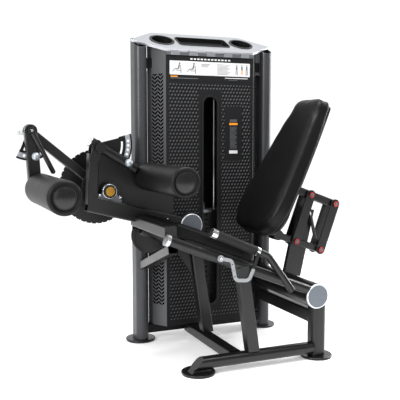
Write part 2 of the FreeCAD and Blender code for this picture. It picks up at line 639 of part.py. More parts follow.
def build_seat():
    rear_solid = disc(REAR_TUBE_X, REAR_TUBE_Z, REAR_TUBE_Y0, 0, REAR_TUBE_D)
    rails = []
    envelopes = []
    for y in (NEAR_Y, INNER_RAIL_Y):
        start = V(RAIL_X0, y, RAIL_Z0)
        end = V(REAR_TUBE_X, y, seat_line(REAR_TUBE_X))
        envelope = rod(start, end, RAIL_D)
        envelopes.append(envelope)
        bore = rod(start, end, RAIL_D - 2 * TUBE_WALL)
        rails.append(envelope.cut([bore, rear_solid, rear_cap_room()]))
    add("seat_frame", *[biggest(rail) for rail in rails])
    # upright legs under the rails
    legs = [(NEAR_Y, -18.0, -75.0, BASE_BAR_Z + BASE_BAR_H / 2),
            (INNER_RAIL_Y, -78.0, -140.0, BASE_BAR_Z + BASE_BAR_H / 2)]
    for (y, foot_x, head_x, foot_z), envelope in zip(legs, envelopes):
        head_z = seat_line(head_x)
        lean_x = (head_x - foot_x) / (head_z - foot_z)
        low = V(foot_x - 30 * lean_x, y, foot_z - 30)
        leg = bar(low, V(head_x, y, head_z), LEG_D, LEG_W, 6, TUBE_WALL)
        ground = box(foot_x - 200, foot_x + 200, y - 100, y + 100, -50, foot_z)
        add("seat_frame", biggest(leg.cut(ground).cut(envelope)))
    gusset_t = 6.0
    gx, gz = -140.0, seat_line(-140.0, -RAIL_D / 2)
    lean = tan(radians(9.6))
    left_top = -140 - LEG_W / 2 - 2
    triangle = [(left_top, gz - 6), (left_top - 84, seat_line(left_top - 84, -RAIL_D / 2) - 1),
                (left_top + 100 * lean, gz - 106)]
    triangle_plate = plate(triangle, INNER_RAIL_Y - gusset_t / 2, INNER_RAIL_Y + gusset_t / 2)
    add("seat_frame", triangle_plate)
    front = front_tube(TUBE_WALL, 0, BEAM_Y + BEAM_W / 2).cut(envelopes + [beam_envelope()])
    end_plate = front_tube(0, -TUBE_WALL, FRONT_TUBE_Y0).cut(envelopes)
    add("seat_frame", biggest(front), biggest(end_plate))
    brace_start = V(-POST_X + 2, -POST_DEEP / 2 + 3, 398)
    brace_end = V(-398, NEAR_Y + 6, 566)
    brace = bar(brace_start, brace_end, 46, 40, 6, TUBE_WALL, V(1, 0, 0))
    post = bar(V(-POST_X, 0, 0), V(-POST_X, 0, 900), POST_DEEP, POST_WIDE, POST_WIDE / 2 - 0.5)
    add("seat_frame", biggest(brace.cut(post).cut(envelopes[0])))
    # the board under the cushion, tilted with the rails
    tilt = FreeCAD.Rotation(ALONG_Y, SEAT_TILT)

    def on_rails(block, above):
        block.Placement = FreeCAD.Placement(V(SEAT_X0, SEAT_Y, seat_line(SEAT_X0, above)), tilt)
        return block

    length = (SEAT_X1 - SEAT_X0) / cos(radians(SEAT_TILT))
    low = RAIL_D / 2 + 0.3
    board_margin = 12.0
    front_gap = 60.0
    board = Part.makeBox(length - board_margin - front_gap, SEAT_W - 2 * board_margin, BOARD_T,
                         V(front_gap, -SEAT_W / 2 + board_margin, 0))
    add("seat_board", on_rails(round_edges(board, V(0, 0, 1), 30), low))
    cushion = Part.makeBox(length, SEAT_W, SEAT_T, V(0, -SEAT_W / 2, 0))
    upright = [edge for edge in cushion.Edges if abs(edge.CenterOfMass.z - SEAT_T / 2) < 0.1]
    cushion = cushion.makeFillet(20, [edge for edge in upright if edge.CenterOfMass.x < 1])
    upright = [edge for edge in cushion.Edges if abs(edge.CenterOfMass.z - SEAT_T / 2) < 0.1]
    cushion = cushion.makeFillet(45, [edge for edge in upright if edge.CenterOfMass.x > length - 1])
    top_edges = [edge for edge in cushion.Edges if abs(edge.CenterOfMass.z - SEAT_T) < 0.1]
    cushion = cushion.makeFillet(14, top_edges)
    cushion = on_rails(cushion, low + BOARD_T + 0.3)
    clear = front_tube(0, -100, 0, 2)
    add("seat_cushion", cushion.cut(clear))


def front_tube(wall, y_shift, y1, grow=0):
    """The cross tube at the front of the seat, from its near end to y1."""
    size = FRONT_TUBE_SQ + grow
    start = V(FRONT_TUBE_X, FRONT_TUBE_Y0 + y_shift, FRONT_TUBE_Z)
    return bar(start, V(FRONT_TUBE_X, y1, FRONT_TUBE_Z), size, size, 8, wall, V(1, 0, 0))


def bent_path(points, radius):
    """Straight runs in one plane joined by tangent arcs."""
    edges = []
    start = points[0]
    for index in range(1, len(points) - 1):
        corner = points[index]
        before = (points[index - 1] - corner).normalize()
        after = (points[index + 1] - corner).normalize()
        half = before.getAngle(after) / 2
        back = radius / tan(half)
        first = corner + before * back
        last = corner + after * back
        middle_dir = (before + after).normalize()
        middle = corner + middle_dir * (radius / sin(half) - radius)
        edges.append(Part.LineSegment(start, first).toShape())
        edges.append(Part.Arc(first, middle, last).toShape())
        start = last
    edges.append(Part.LineSegment(start, points[-1]).toShape())
    return Part.Wire(edges)


def sweep_round(points, radius, diameter):
    path = bent_path(points, radius)
    first = path.Vertexes[0].Point
    tangent = points[1] - points[0]
    section = Part.Wire([Part.Circle(first, tangent, diameter / 2).toShape()])
    return path.makePipeShell([section], True, True)


def build_grip():
    slope = (GRIP_Z1 - GRIP_Z0) / (GRIP_X1 - GRIP_X0)
    bend_x = GRIP_X1 + 48
    bend_z = GRIP_Z1 + slope * 48
    path = [V(GRIP_X0, NEAR_Y, GRIP_Z0), V(bend_x, NEAR_Y, bend_z),
            V(GRIP_DROP_X, NEAR_Y - GRIP_OUT, GRIP_DROP_Z)]
    tube = sweep_round(path, 48, GRIP_TUBE_D)
    rail = rod(V(RAIL_X0, NEAR_Y, RAIL_Z0), V(REAR_TUBE_X, NEAR_Y, seat_line(REAR_TUBE_X)), RAIL_D)
    tube = biggest(tube.cut(rail))
    add("grip_tube", tube)
    along = (path[1] - path[0]).normalize()
    start = path[0]
    end = V(GRIP_X1, NEAR_Y, GRIP_Z1)
    sleeve_a = start + along * 16
    sleeve_b = end - along * 16
    sleeve = rod(sleeve_a, sleeve_b, GRIP_D).cut(rod(sleeve_a - along, sleeve_b + along, GRIP_TUBE_D))
    add("hand_grip", sleeve)
    nose = rod(start - along * 10, sleeve_a - along * 0.1, GRIP_D + 3)
    nose = nose.cut(rod(start, start + along * 40, GRIP_TUBE_D))
    collar = rod(sleeve_b + along * 0.1, end, GRIP_D + 3).cut(rod(sleeve_a, end + along * 9, GRIP_TUBE_D))
    rail_along = V(cos(radians(SEAT_TILT)), 0, -sin(radians(SEAT_TILT)))
    rail_start = V(RAIL_X0, NEAR_Y, RAIL_Z0)
    rail_cap = rod(rail_start - rail_along * 16, rail_start - rail_along * 0.05, RAIL_D + 9)
    add("frame_trim", nose, collar, biggest(rail_cap.cut(front_tube(0, -TUBE_WALL, 0))))


def beam_z(x):
    return BEAM_MID_Z - (x - BEAM_MID_X) * tan(radians(BEAM_SLOPE))


def beam_envelope():
    end_x = STUB_X
    return bar(xz(BEAM_X0, beam_z(BEAM_X0), BEAM_Y), xz(end_x, beam_z(end_x), BEAM_Y),
               BEAM_W, BEAM_H, 8)


def build_pivot_beam():
    near = BEAM_Y - BEAM_W / 2
    far = BEAM_Y + BEAM_W / 2
    stub = disc(STUB_X, STUB_Z, near - 4, far - 0.5, STUB_D)
    beam = bar(xz(BEAM_X0, beam_z(BEAM_X0), BEAM_Y), xz(STUB_X, beam_z(STUB_X), BEAM_Y),
               BEAM_W, BEAM_H, 8, TUBE_WALL)
    beam = biggest(beam.cut(stub))
    tie_z = beam_z(-POST_X)
    tie = box(-POST_X - 25, -POST_X + 25, far, -POST_DEEP / 2 + 4, tie_z - 5, tie_z + 18)
    post = bar(V(-POST_X, 0, 0), V(-POST_X, 0, 900), POST_DEEP, POST_WIDE, POST_WIDE / 2 - 0.5)
    add("pivot_frame", beam, tie.cut(post))
    add("pivot_frame", stub.cut(disc(STUB_X, STUB_Z, near - 5, far, STUB_D - 8)))
    add("tube_end_caps", cap_disc(STUB_X, STUB_Z, near - 4, STUB_D))
    # guard plate that screens the cable drum from the user
    guard_y0 = far + 0.05
    lower = BEAM_H / 2 - 12
    outline = [(-650, beam_z(-650) + lower), (-650, 800), (-628, 985), (-596, 985), (-430, 880),
               (-207, 748), (-207, beam_z(-207) + lower)]
    guard = plate(outline, guard_y0, guard_y0 + GUARD_T)
    shaft_hole = disc(PIVOT_X, PIVOT_Z, guard_y0 - 1, guard_y0 + 4, SHAFT_D + 14)
    add("guard_plate", guard.cut(shaft_hole))
    # upright bracket that carries the thigh arm
    foot_x = -636.0
    low = xz(foot_x, beam_z(foot_x), BEAM_Y)
    high = xz(THIGH_PIVOT_X - 12, THIGH_PIVOT_Z - THIGH_ARM_D / 2 - 20, BEAM_Y)
    bracket = bar(low, high, BEAM_W, BRACKET_W, 6, TUBE_WALL)
    bracket = biggest(bracket.cut(beam_envelope()))
    outside = bar(low, high, BEAM_W, BRACKET_W, 6)
    ear_t = 5.0
    ears = []
    pivot_bore = disc(THIGH_PIVOT_X, THIGH_PIVOT_Z, near - 9, far + 9, LINK_PIN_D + 1)
    for y0 in (near - ear_t, BEAM_Y + THIGH_ARM_D / 2 + MOVE_GAP):
        ear = flat_strip(THIGH_PIVOT_X - 10, THIGH_PIVOT_Z - 66, THIGH_PIVOT_X, THIGH_PIVOT_Z,
                         44, y0, y0 + ear_t)
        ears.append(biggest(ear.cut(pivot_bore).cut(outside)))
    add("pivot_frame", bracket, *ears)
    add("pivot_frame", disc(THIGH_PIVOT_X, THIGH_PIVOT_Z, near - ear_t, far, LINK_PIN_D))
    knob_y = near - ear_t - 0.05
    knob_r = 26.0
    corners = [polar(THIGH_PIVOT_X + 13, THIGH_PIVOT_Z - 16, knob_r, 45 * k + 22.5) for k in range(8)]
    knob = plate(corners, knob_y - 22, knob_y)
    add("thigh_clamp_knob", knob)
    # rear bearing beam behind the cam disc
    rear = bar(xz(PIVOT_X - 62, PIVOT_Z - 70, REAR_BEAM_Y), xz(-POST_X, PIVOT_Z - 70, REAR_BEAM_Y),
               REAR_BEAM_W, 50, 6, TUBE_WALL)
    lug = box(-POST_X - 25, -POST_X + 20, POST_DEEP / 2 - 4, REAR_BEAM_Y - REAR_BEAM_W / 2,
              PIVOT_Z - 90, PIVOT_Z - 50)
    add("pivot_frame", rear, lug.cut(post))


def pillow_block(y, depth, foot_z):
    body = disc(PIVOT_X, PIVOT_Z, y - depth / 2, y + depth / 2, 74)
    half = 58.0
    base = [(PIVOT_X - half, foot_z(PIVOT_X - half)), (PIVOT_X + half, foot_z(PIVOT_X + half)),
            (PIVOT_X + half, foot_z(PIVOT_X + half) + 14), (PIVOT_X + 30, PIVOT_Z - 8),
            (PIVOT_X - 30, PIVOT_Z - 8), (PIVOT_X - half, foot_z(PIVOT_X - half) + 14)]
    foot = plate(base, y - depth / 2, y + depth / 2)
    bore = disc(PIVOT_X, PIVOT_Z, y - depth, y + depth, SHAFT_D + 2 * RUN_FIT)
    return body.fuse(foot).removeSplitter().cut(bore).cut(below_line(foot_z, y, depth))


def below_line(foot_z, y, depth):
    x0 = PIVOT_X - 200
    x1 = PIVOT_X + 200
    outline = [(x0, foot_z(x0)), (x1, foot_z(x1)), (x1, foot_z(x1) - 200), (x0, foot_z(x0) - 200)]
    return plate(outline, y - depth, y + depth)


def build_lever():
    def on_beam(x):
        return beam_z(x) + BEAM_H / 2 / cos(radians(BEAM_SLOPE)) + 0.05

    def on_rear(x):
        return PIVOT_Z - 70 + 25.05

    add("pillow_blocks", pillow_block(BEAM_Y, 34, on_beam),
        pillow_block(REAR_BEAM_Y, 30, on_rear))
    shaft_y0 = BEAM_Y - 19
    shaft_y1 = REAR_BEAM_Y + 17
    add("lever_shafts", disc(PIVOT_X, PIVOT_Z, shaft_y0, shaft_y1, SHAFT_D))
    cap = disc(PIVOT_X, PIVOT_Z, shaft_y0 - 9, shaft_y0 - MOVE_GAP, 58)
    collar = ring(PIVOT_X, PIVOT_Z, shaft_y0 - MOVE_GAP, BEAM_Y - 17.05, 58, SHAFT_D + 4)
    add("bearing_cap", cap.fuse(collar).removeSplitter())
    # lever arm between the pivot and the outer joint
    lever_y = LEVER_Y0 + LEVER_W / 2
    hub = disc(PIVOT_X, PIVOT_Z, LEVER_Y0, LEVER_Y0 + LEVER_W, 82)
    outer_hub = disc(JOINT_X, JOINT_Z, LEVER_Y0, LEVER_Y0 + LEVER_W, HUB_D)
    arm = bar(xz(PIVOT_X, PIVOT_Z, lever_y), xz(JOINT_X, JOINT_Z, lever_y), LEVER_W, LEVER_H, 7)
    lever = hub.multiFuse([outer_hub, arm]).removeSplitter()
    lever = lever.cut(disc(PIVOT_X, PIVOT_Z, LEVER_Y0 - 1, LEVER_Y0 + LEVER_W + 1, SHAFT_D))
    lever = lever.cut(disc(JOINT_X, JOINT_Z, LEVER_Y0 - 1, LEVER_Y0 + LEVER_W + 1, AXLE_D))
    add("lever_arm", lever)
    # cam disc on the far side of the lever arm, with index notches round its rim
    cam_x = PIVOT_X - 8
    cam_z = PIVOT_Z + 9
    cam = disc(cam_x, cam_z, DISC_Y0, DISC_Y0 + DISC_T, 2 * DISC_R)
    notch_count = 40
    for index in range(notch_count):
        nx, nz = polar(cam_x, cam_z, DISC_R, 360 / notch_count * index)
        cam = cam.cut(disc(nx, nz, DISC_Y0 - 1, DISC_Y0 + DISC_T + 1, 9))
    spacer = disc(PIVOT_X, PIVOT_Z, LEVER_Y0 + LEVER_W, DISC_Y0, 60)
    cam = cam.fuse(spacer).removeSplitter()
    cam = cam.cut(disc(PIVOT_X, PIVOT_Z, 0, DISC_Y0 + DISC_T + 1, SHAFT_D))
    add("cam_disc", cam)
    drum = pulley(PIVOT_X, PIVOT_Z, CABLE_Y, DRUM_PITCH_R, SHAFT_D)
    sleeve = ring(PIVOT_X, PIVOT_Z, CABLE_Y + PULLEY_W / 2, LEVER_Y0, 60, SHAFT_D)
    add("cable_drum", drum.fuse(sleeve).removeSplitter())
    # outer joint: pin, far-side knob and the index sector for the ankle arm
    pin_y0 = ANKLE_ARM_Y - ANKLE_ARM_W / 2 - 32
    pin = disc(JOINT_X, JOINT_Z, pin_y0, LEVER_Y0 + LEVER_W + 2, AXLE_D)
    add("lever_shafts", pin)
    knob_d = 50.0
    knob_reach = 61.0
    rings = []
    for start, end, diameter in ((0, 42, knob_d), (42, 45, knob_d - 8), (45, 58, knob_d - 3),
                                 (58, knob_reach, knob_d - 10)):
        rings.append(rod(V(JOINT_X - start, lever_y, JOINT_Z + 3),
                         V(JOINT_X - end, lever_y, JOINT_Z + 3), diameter))
    knob = rings[0].multiFuse(rings[1:]).removeSplitter()
    add("arm_end_knob", biggest(knob.cut([outer_hub, arm])))
    sector_y1 = LEVER_Y0 - 0.05
    sector_t = INDEX_T
    quadrant = sector(JOINT_X, JOINT_Z, sector_y1 - sector_t, sector_y1, 96, 141, 243, 298)
    web = sector(JOINT_X, JOINT_Z, sector_y1 - sector_t, sector_y1, AXLE_D / 2, 30, 0, 359.9)
    for angle in (248, 293):
        x0, z0 = polar(JOINT_X, JOINT_Z, 24, angle)
        x1, z1 = polar(JOINT_X, JOINT_Z, 100, angle)
        web = web.fuse(flat_strip(x0, z0, x1, z1, 14, sector_y1 - sector_t, sector_y1))
    quadrant = quadrant.fuse(web)
    for step in range(-2, 3):
        hx, hz = polar(JOINT_X, JOINT_Z, 120, ankle_rest_angle() + ANKLE_STEP_DEG * step)
        quadrant = quadrant.cut(disc(hx, hz, sector_y1 - 9, sector_y1 + 1, 13))
    bore = disc(JOINT_X, JOINT_Z, sector_y1 - 9, sector_y1 + 1, AXLE_D)
    quadrant = quadrant.cut(bore).removeSplitter()
    add("ankle_index_plate", quadrant)


def ankle_rest_angle():
    return 360 + degrees(atan2(ANKLE_Z - JOINT_Z, ANKLE_X - JOINT_X))


def build_ankle_arm():
    y0 = ANKLE_ARM_Y - ANKLE_ARM_W / 2
    y1 = ANKLE_ARM_Y + ANKLE_ARM_W / 2
    hub = disc(JOINT_X, JOINT_Z, y0, y1, HUB_D)
    arm = bar(xz(JOINT_X, JOINT_Z, ANKLE_ARM_Y), xz(ANKLE_X - ANKLE_BAR_SHIFT, ANKLE_Z, ANKLE_ARM_Y),
              ANKLE_ARM_W, ANKLE_ARM_H, 7)
    foot = disc(ANKLE_X - ANKLE_BAR_SHIFT / 2, ANKLE_Z, y0, y1, ANKLE_ARM_H + 6)
    pin_x, pin_z = polar(JOINT_X, JOINT_Z, 120, ankle_rest_angle())
    solid = hub.multiFuse([arm, foot]).removeSplitter()
    solid = solid.cut(disc(JOINT_X, JOINT_Z, y0 - 1, y1 + 1, AXLE_D + 2 * RUN_FIT))
    solid = solid.cut(disc(pin_x, pin_z, y0 - 1, y1 + 1, 10 + 2 * GAP))
    solid = solid.cut(disc(ANKLE_X, ANKLE_Z, y0 - 1, y1 + 1, ROLLER_AXLE_D))
    add("ankle_arm", solid)
    add("ankle_arm", disc(ANKLE_X, ANKLE_Z, ROLLER_Y0 + 18, y1 - 5, ROLLER_AXLE_D))
    shank = disc(pin_x, pin_z, y0 - 12, LEVER_Y0 - INDEX_T - 2 * GAP, 10)
    ball = Part.makeSphere(PIN_BALL_D / 2, V(pin_x, y0 - 24, pin_z))
    add("ankle_pop_pin", shank.fuse(ball).removeSplitter())
    handle_y = y0 - 17
    collar = disc(JOINT_X, JOINT_Z, handle_y - 12, handle_y + 12, 34)
    end_x, end_z = -803.0, 882.0
    lever = rod(xz(JOINT_X, JOINT_Z, handle_y), xz(end_x, end_z, handle_y), HANDLE_D)
    tip = Part.makeSphere(HANDLE_D / 2, xz(end_x, end_z, handle_y))
    handle = collar.multiFuse([lever, tip]).removeSplitter()
    handle = handle.cut(disc(JOINT_X, JOINT_Z, handle_y - 20, handle_y + 20, AXLE_D + 2 * RUN_FIT))
    add("release_handle", handle)


def build_roller(name, x, z, y1, diameter):
    foam = disc(x, z, ROLLER_Y0, y1, diameter)
    ends = [edge for edge in foam.Edges if isinstance(edge.Curve, Part.Circle)]
    foam = foam.makeFillet(12, ends)
    recess = 9.0
    pocket = disc(x, z, ROLLER_Y0 - 1, ROLLER_Y0 + recess, ROLLER_CAP_D + 14)
    bore = disc(x, z, ROLLER_Y0 - 1, y1 + 1, ROLLER_AXLE_D + 2 * RUN_FIT)
    add(name + "_foam", foam.cut(pocket).cut(bore))
    dome_r = 88.0
    base_y = ROLLER_Y0 + recess
    dome = Part.makeSphere(dome_r, V(x, base_y + dome_r - 14, z))
    cap = disc(x, z, base_y - 20, base_y - 0.05, ROLLER_CAP_D).common(dome)
    cap = cap.fuse(disc(x, z, base_y - 3, base_y - 0.05, ROLLER_CAP_D)).removeSplitter()
    add(name + "_cap", cap)


def build_thigh_arm():
    dx = THIGH_X - THIGH_PIVOT_X
    dz = THIGH_Z - THIGH_PIVOT_Z
    length = hypot(dx, dz)
    angle = degrees(atan2(dz, dx))
    along = V(dx / length, 0, dz / length)
    pivot = xz(THIGH_PIVOT_X, THIGH_PIVOT_Z, BEAM_Y)
    tube_end = pivot + along * (length - THIGH_ROLLER_D / 2 - 8)
    tube_start = pivot - along * 26
    tube = rod(tube_start, tube_end, THIGH_ARM_D)
    side_y = THIGH_ROLLER_Y1 + MOVE_GAP
    strap_t = 8.0
    strap = flat_strip(tube_end.x - along.x * 40, tube_end.z - along.z * 40, THIGH_X, THIGH_Z,
                       40, side_y, side_y + strap_t)
    arm = tube.fuse(strap).removeSplitter()
    arm = arm.cut(disc(THIGH_PIVOT_X, THIGH_PIVOT_Z, BEAM_Y - 40, BEAM_Y + 40,
                       LINK_PIN_D + 2 * RUN_FIT))
    pin_x, pin_z = polar(THIGH_PIVOT_X, THIGH_PIVOT_Z, THIGH_SECTOR_R, angle)
    arm = arm.cut(disc(pin_x, pin_z, BEAM_Y - 40, BEAM_Y + 60, 10 + 2 * GAP))
    arm = arm.cut(disc(THIGH_X, THIGH_Z, side_y - 1, side_y + 11, ROLLER_AXLE_D))
    add("thigh_arm", arm)
    add("thigh_arm", rod(tube_start - along * 5, tube_start - along * 0.05, THIGH_ARM_D + 3))
    add("thigh_arm", disc(THIGH_X, THIGH_Z, ROLLER_Y0 + 18, side_y + strap_t, ROLLER_AXLE_D))
    sector_y0 = BEAM_Y + BEAM_W / 2 + GUARD_T + 2 * GAP
    sector_t = INDEX_T
    ball_y = BEAM_Y - THIGH_ARM_D / 2 - 24
    shank = disc(pin_x, pin_z, ball_y, sector_y0 - GAP, 10)
    ball = Part.makeSphere(PIN_BALL_D / 2, V(pin_x, ball_y - 6, pin_z))
    add("thigh_pop_pin", shank.fuse(ball).removeSplitter())
    band = sector(THIGH_PIVOT_X, THIGH_PIVOT_Z, sector_y0, sector_y0 + sector_t, 128, 192,
                  angle - 7, angle + 46)
    arms = sector(THIGH_PIVOT_X, THIGH_PIVOT_Z, sector_y0, sector_y0 + sector_t, 10, 150,
                  angle + 6, angle + 44)
    window = sector(THIGH_PIVOT_X, THIGH_PIVOT_Z, sector_y0 - 1, sector_y0 + sector_t + 1,
                    136, 146, angle + 4, angle + 36)
    solid = band.fuse(arms).removeSplitter().cut(window)
    for step in range(6):
        hx, hz = polar(THIGH_PIVOT_X, THIGH_PIVOT_Z, THIGH_SECTOR_R, angle + 7.2 * step)
        solid = solid.cut(disc(hx, hz, sector_y0 - 1, sector_y0 + sector_t + 1, 13))
    add("thigh_index_plate", solid)


def link(x0, z0, x1, z1, y0):
    solid = flat_strip(x0, z0, x1, z1, LINK_W, y0, y0 + LINK_T)
    for x, z in ((x0, z0), (x1, z1)):
        solid = solid.cut(disc(x, z, y0 - 1, y0 + LINK_T + 1, LINK_PIN_D + 2 * RUN_FIT))
    return solid


def build_backrest():
    p3 = (PIN_3_X, PIN_3_Z)
    p4 = (PIN_3_X + TUBE_DX, PIN_3_Z + TUBE_DZ)
    p1 = (PIN_3_X + LINK_DX, PIN_3_Z + LINK_DZ)
    p2 = (p4[0] + LINK_DX, p4[1] + LINK_DZ)
    near = BACK_Y - BACK_TUBE_SQ / 2 - 4 - LINK_T
    column_y = BACK_Y + BACK_TUBE_SQ / 2 - COLUMN_SET_IN + COLUMN_D / 2
    far = column_y + COLUMN_D / 2 + MOVE_GAP
    for name, low, high in (("front_links", p3, p1), ("rear_links", p4, p2)):
        for y0 in (near, far):
            add(name, link(low[0], low[1], high[0], high[1], y0))
    reach0 = near - 6
    reach1 = far + LINK_T + 6
    slope = TUBE_DZ / TUBE_DX
    head_d = 30.0
    for name, points in (("back_column", (p3, p4)), ("back_carriage", (p1, p2))):
        for x, z in points:
            pin = disc(x, z, reach0, reach1, LINK_PIN_D)
            heads = [disc(x, z, reach0, near - 0.5, head_d),
                     disc(x, z, far + LINK_T + 0.5, reach1, head_d)]
            add(name, pin.multiFuse(heads).removeSplitter())
    # upper tube carries the pad, lower tube is welded to the column
    pin_bores = [disc(x, z, reach0, reach1, LINK_PIN_D) for x, z in (p1, p2, p3, p4)]
    pad_back_x = PAD_X0 + (PAD_T + 6 + BACK_BOARD_T) / cos(radians(PAD_LEAN))

    def pad_plane_x(z):
        return pad_back_x + (z - PAD_Z0) * tan(radians(PAD_LEAN))

    start_x = pad_plane_x(p1[1] + 30)
    upper = bar(xz(start_x, p1[1] + slope * (start_x - p1[0]), BACK_Y),
                xz(p2[0] + 12, p2[1] + slope * 12, BACK_Y), BACK_TUBE_SQ, BACK_TUBE_SQ, 6)
    lug_x, lug_z = 424.0, 722.0
    lug = box(lug_x - 9, lug_x + 9, BACK_Y - 17, BACK_Y - 14, lug_z - 9, lug_z + 22)
    lug_far = box(lug_x - 9, lug_x + 9, BACK_Y + 1, BACK_Y + 4, lug_z - 9, lug_z + 22)
    upper = upper.multiFuse([lug, lug_far]).removeSplitter()
    lower_x0 = p3[0] - 102
    lower = bar(xz(lower_x0, p3[1] + slope * (lower_x0 - p3[0]), BACK_Y),
                xz(p4[0] + 12, p4[1] + slope * 12, BACK_Y), BACK_TUBE_SQ, 34, 6)
    column_foot_z = REAR_TUBE_Z + REAR_TUBE_D / 2 - 12
    lean = tan(radians(COLUMN_LEAN))
    foot_x = 350.0
    top_x = foot_x + (COLUMN_TOP_Z - column_foot_z) * lean
    column = bar(xz(foot_x, column_foot_z, column_y), xz(top_x, COLUMN_TOP_Z, column_y),
                 COLUMN_D, COLUMN_W, 5)
    tube_solid = disc(REAR_TUBE_X, REAR_TUBE_Z, -700, 0, REAR_TUBE_D)
    column = biggest(column.cut(tube_solid))
    for bore in pin_bores:
        upper = upper.cut(bore)
        lower = lower.cut(bore)
        column = column.cut(bore)
    add("back_column", lower.cut(column))
    add("back_column", column)
    end_x, end_z = lower_x0, p3[1] + slope * (lower_x0 - p3[0])
    boss = disc(end_x, end_z, BACK_Y - 32, BACK_Y + 32, 52).cut(lower)
    add("back_column", boss)
    # lockable gas spring across the parallelogram
    spring_y = BACK_Y - 7
    low_x, low_z = 475.0, 512.0
    span = V(lug_x - low_x, 0, lug_z - low_z)
    unit = V(span.x, 0, span.z).normalize()
    base = xz(low_x, low_z, spring_y)
    tip = xz(lug_x, lug_z, spring_y)
    eye = ring(low_x, low_z, spring_y - 4, spring_y + 4, 18, 8 + 2 * RUN_FIT)
    cylinder = rod(base + unit * 16, base + unit * 140, 17)
    cylinder = cylinder.fuse(rod(base + unit * 6, base + unit * 20, 6.5))
    bore_d = 9.0
    cylinder = cylinder.cut(rod(base + unit * 30, base + unit * 141, bore_d))
    cylinder = cylinder.cut(disc(low_x, low_z, spring_y - 9, spring_y + 9, 8 + 2 * RUN_FIT))
    add("gas_spring_body", cylinder.fuse(eye).removeSplitter())
    add("gas_spring_rod", rod(base + unit * 40, tip - unit * 2, 8))
    saddle = box(low_x - 9, low_x + 9, spring_y - 9, spring_y - 5.5, low_z - 30, low_z + 8)
    saddle_far = box(low_x - 9, low_x + 9, spring_y + 5.5, spring_y + 9, low_z - 30, low_z + 8)
    pivot = disc(low_x, low_z, spring_y - 9, spring_y + 9, 8)
    ears = saddle.multiFuse([saddle_far, pivot]).removeSplitter().cut(lower)
    add("back_column", biggest(ears))
    # pad and its board, drawn upright and then leaned back
    lean_turn = FreeCAD.Rotation(ALONG_Y, PAD_LEAN)

    def leaned(solid, depth):
        offset = lean_turn.multVec(V(depth, 0, 0))
        solid.Placement = FreeCAD.Placement(V(PAD_X0, BACK_Y, PAD_Z0) + offset, lean_turn)
        return solid

    add("back_cushion", leaned(pad_outline(0, PAD_T, 0), 0))
    add("back_board", leaned(pad_outline(0, BACK_BOARD_T, 22), PAD_T + 0.3))
    bracket_z0 = (p1[1] - PAD_Z0) / cos(radians(PAD_LEAN)) - 70
    plate_x0 = BACK_BOARD_T + PAD_T + 0.35
    mount = Part.makeBox(5, 90, 190, V(0, -45, bracket_z0))
    add("back_carriage", leaned(mount, plate_x0))
    in_front = Part.makeBox(400, 200, 500, V(-400, -100, bracket_z0 - 150))
    add("back_carriage", biggest(upper.cut(leaned(in_front, plate_x0 + 5))))


def pad_outline(x0, x1, inset):
    """The backrest outline, narrower at the top, from its face depth x0 to x1."""
    bottom = PAD_BOTTOM_W / 2 - inset
    wide = PAD_WIDE / 2 - inset
    top = PAD_TOP_W / 2 - inset
    side = [V(x0, bottom, inset), V(x0, wide, PAD_WIDE_AT), V(x0, top, PAD_LENGTH - inset)]
    low_bulge = V(x0, wide - 12, 48 + inset / 2)
    waist = V(x0, (wide + top) / 2 + 8, (PAD_WIDE_AT + PAD_LENGTH) / 2)
    edges = []
    for sign in (1, -1):
        def flip(point):
            return V(point.x, sign * point.y, point.z)
        edges.append(Part.Arc(flip(side[0]), flip(low_bulge), flip(side[1])).toShape())
        edges.append(Part.Arc(flip(side[1]), flip(waist), flip(side[2])).toShape())
    edges.append(Part.LineSegment(V(x0, bottom, inset), V(x0, -bottom, inset)).toShape())
    edges.append(Part.LineSegment(side[2], V(x0, -top, PAD_LENGTH - inset)).toShape())
    wire = Part.Wire(Part.__sortEdges__(edges))
    solid = Part.Face(wire).extrude(V(x1 - x0, 0, 0))
    corners = [edge for edge in solid.Edges if abs(abs(edge.tangentAt(edge.FirstParameter).x) - 1) < 1e-6
               and abs(edge.CenterOfMass.z - PAD_WIDE_AT) > 30]
    return solid.makeFillet(26 if inset == 0 else 18, corners)


def build_seat_lever():
    """Hooked adjusting lever on the near side of the outer rail, with position holes."""
    y1 = NEAR_Y - LEG_D / 2 - MOVE_GAP
    y0 = y1 - 5
    pivot_x = -190.0
    pivot_z = seat_line(pivot_x, 2)
    path = [xz(pivot_x, pivot_z, y0), xz(-136, 503, y0), xz(-118, 413, y0), xz(-52, 408, y0),
            xz(-31, 452, y0)]
    outline = bent_path(path, 24).makeOffset2D(8)
    hook = Part.Face(outline).extrude(V(0, y1 - y0, 0))
    ring_end = disc(pivot_x, pivot_z, y0, y1, 30)
    hook = hook.fuse(ring_end).removeSplitter()
    hook = hook.cut(disc(pivot_x, pivot_z, y0 - 1, y1 + 1, 12 + 2 * RUN_FIT))
    for share in (0.2, 0.5, 0.8):
        spot = path[1] + (path[2] - path[1]) * share
        hook = hook.cut(disc(spot.x, spot.z, y0 - 1, y1 + 1, 6))
    grip = flat_strip(-31, 452, -5, 522, 15, y0, y1).cut(hook)
    add("adjust_lever", biggest(hook), biggest(grip))
    stud = disc(pivot_x, pivot_z, y0 - 4, NEAR_Y - RAIL_D / 2 + 1.5, 12)
    rail = rod(V(RAIL_X0, NEAR_Y, RAIL_Z0), V(REAR_TUBE_X, NEAR_Y, seat_line(REAR_TUBE_X)), RAIL_D)
    add("frame_trim", stud.cut(rail))


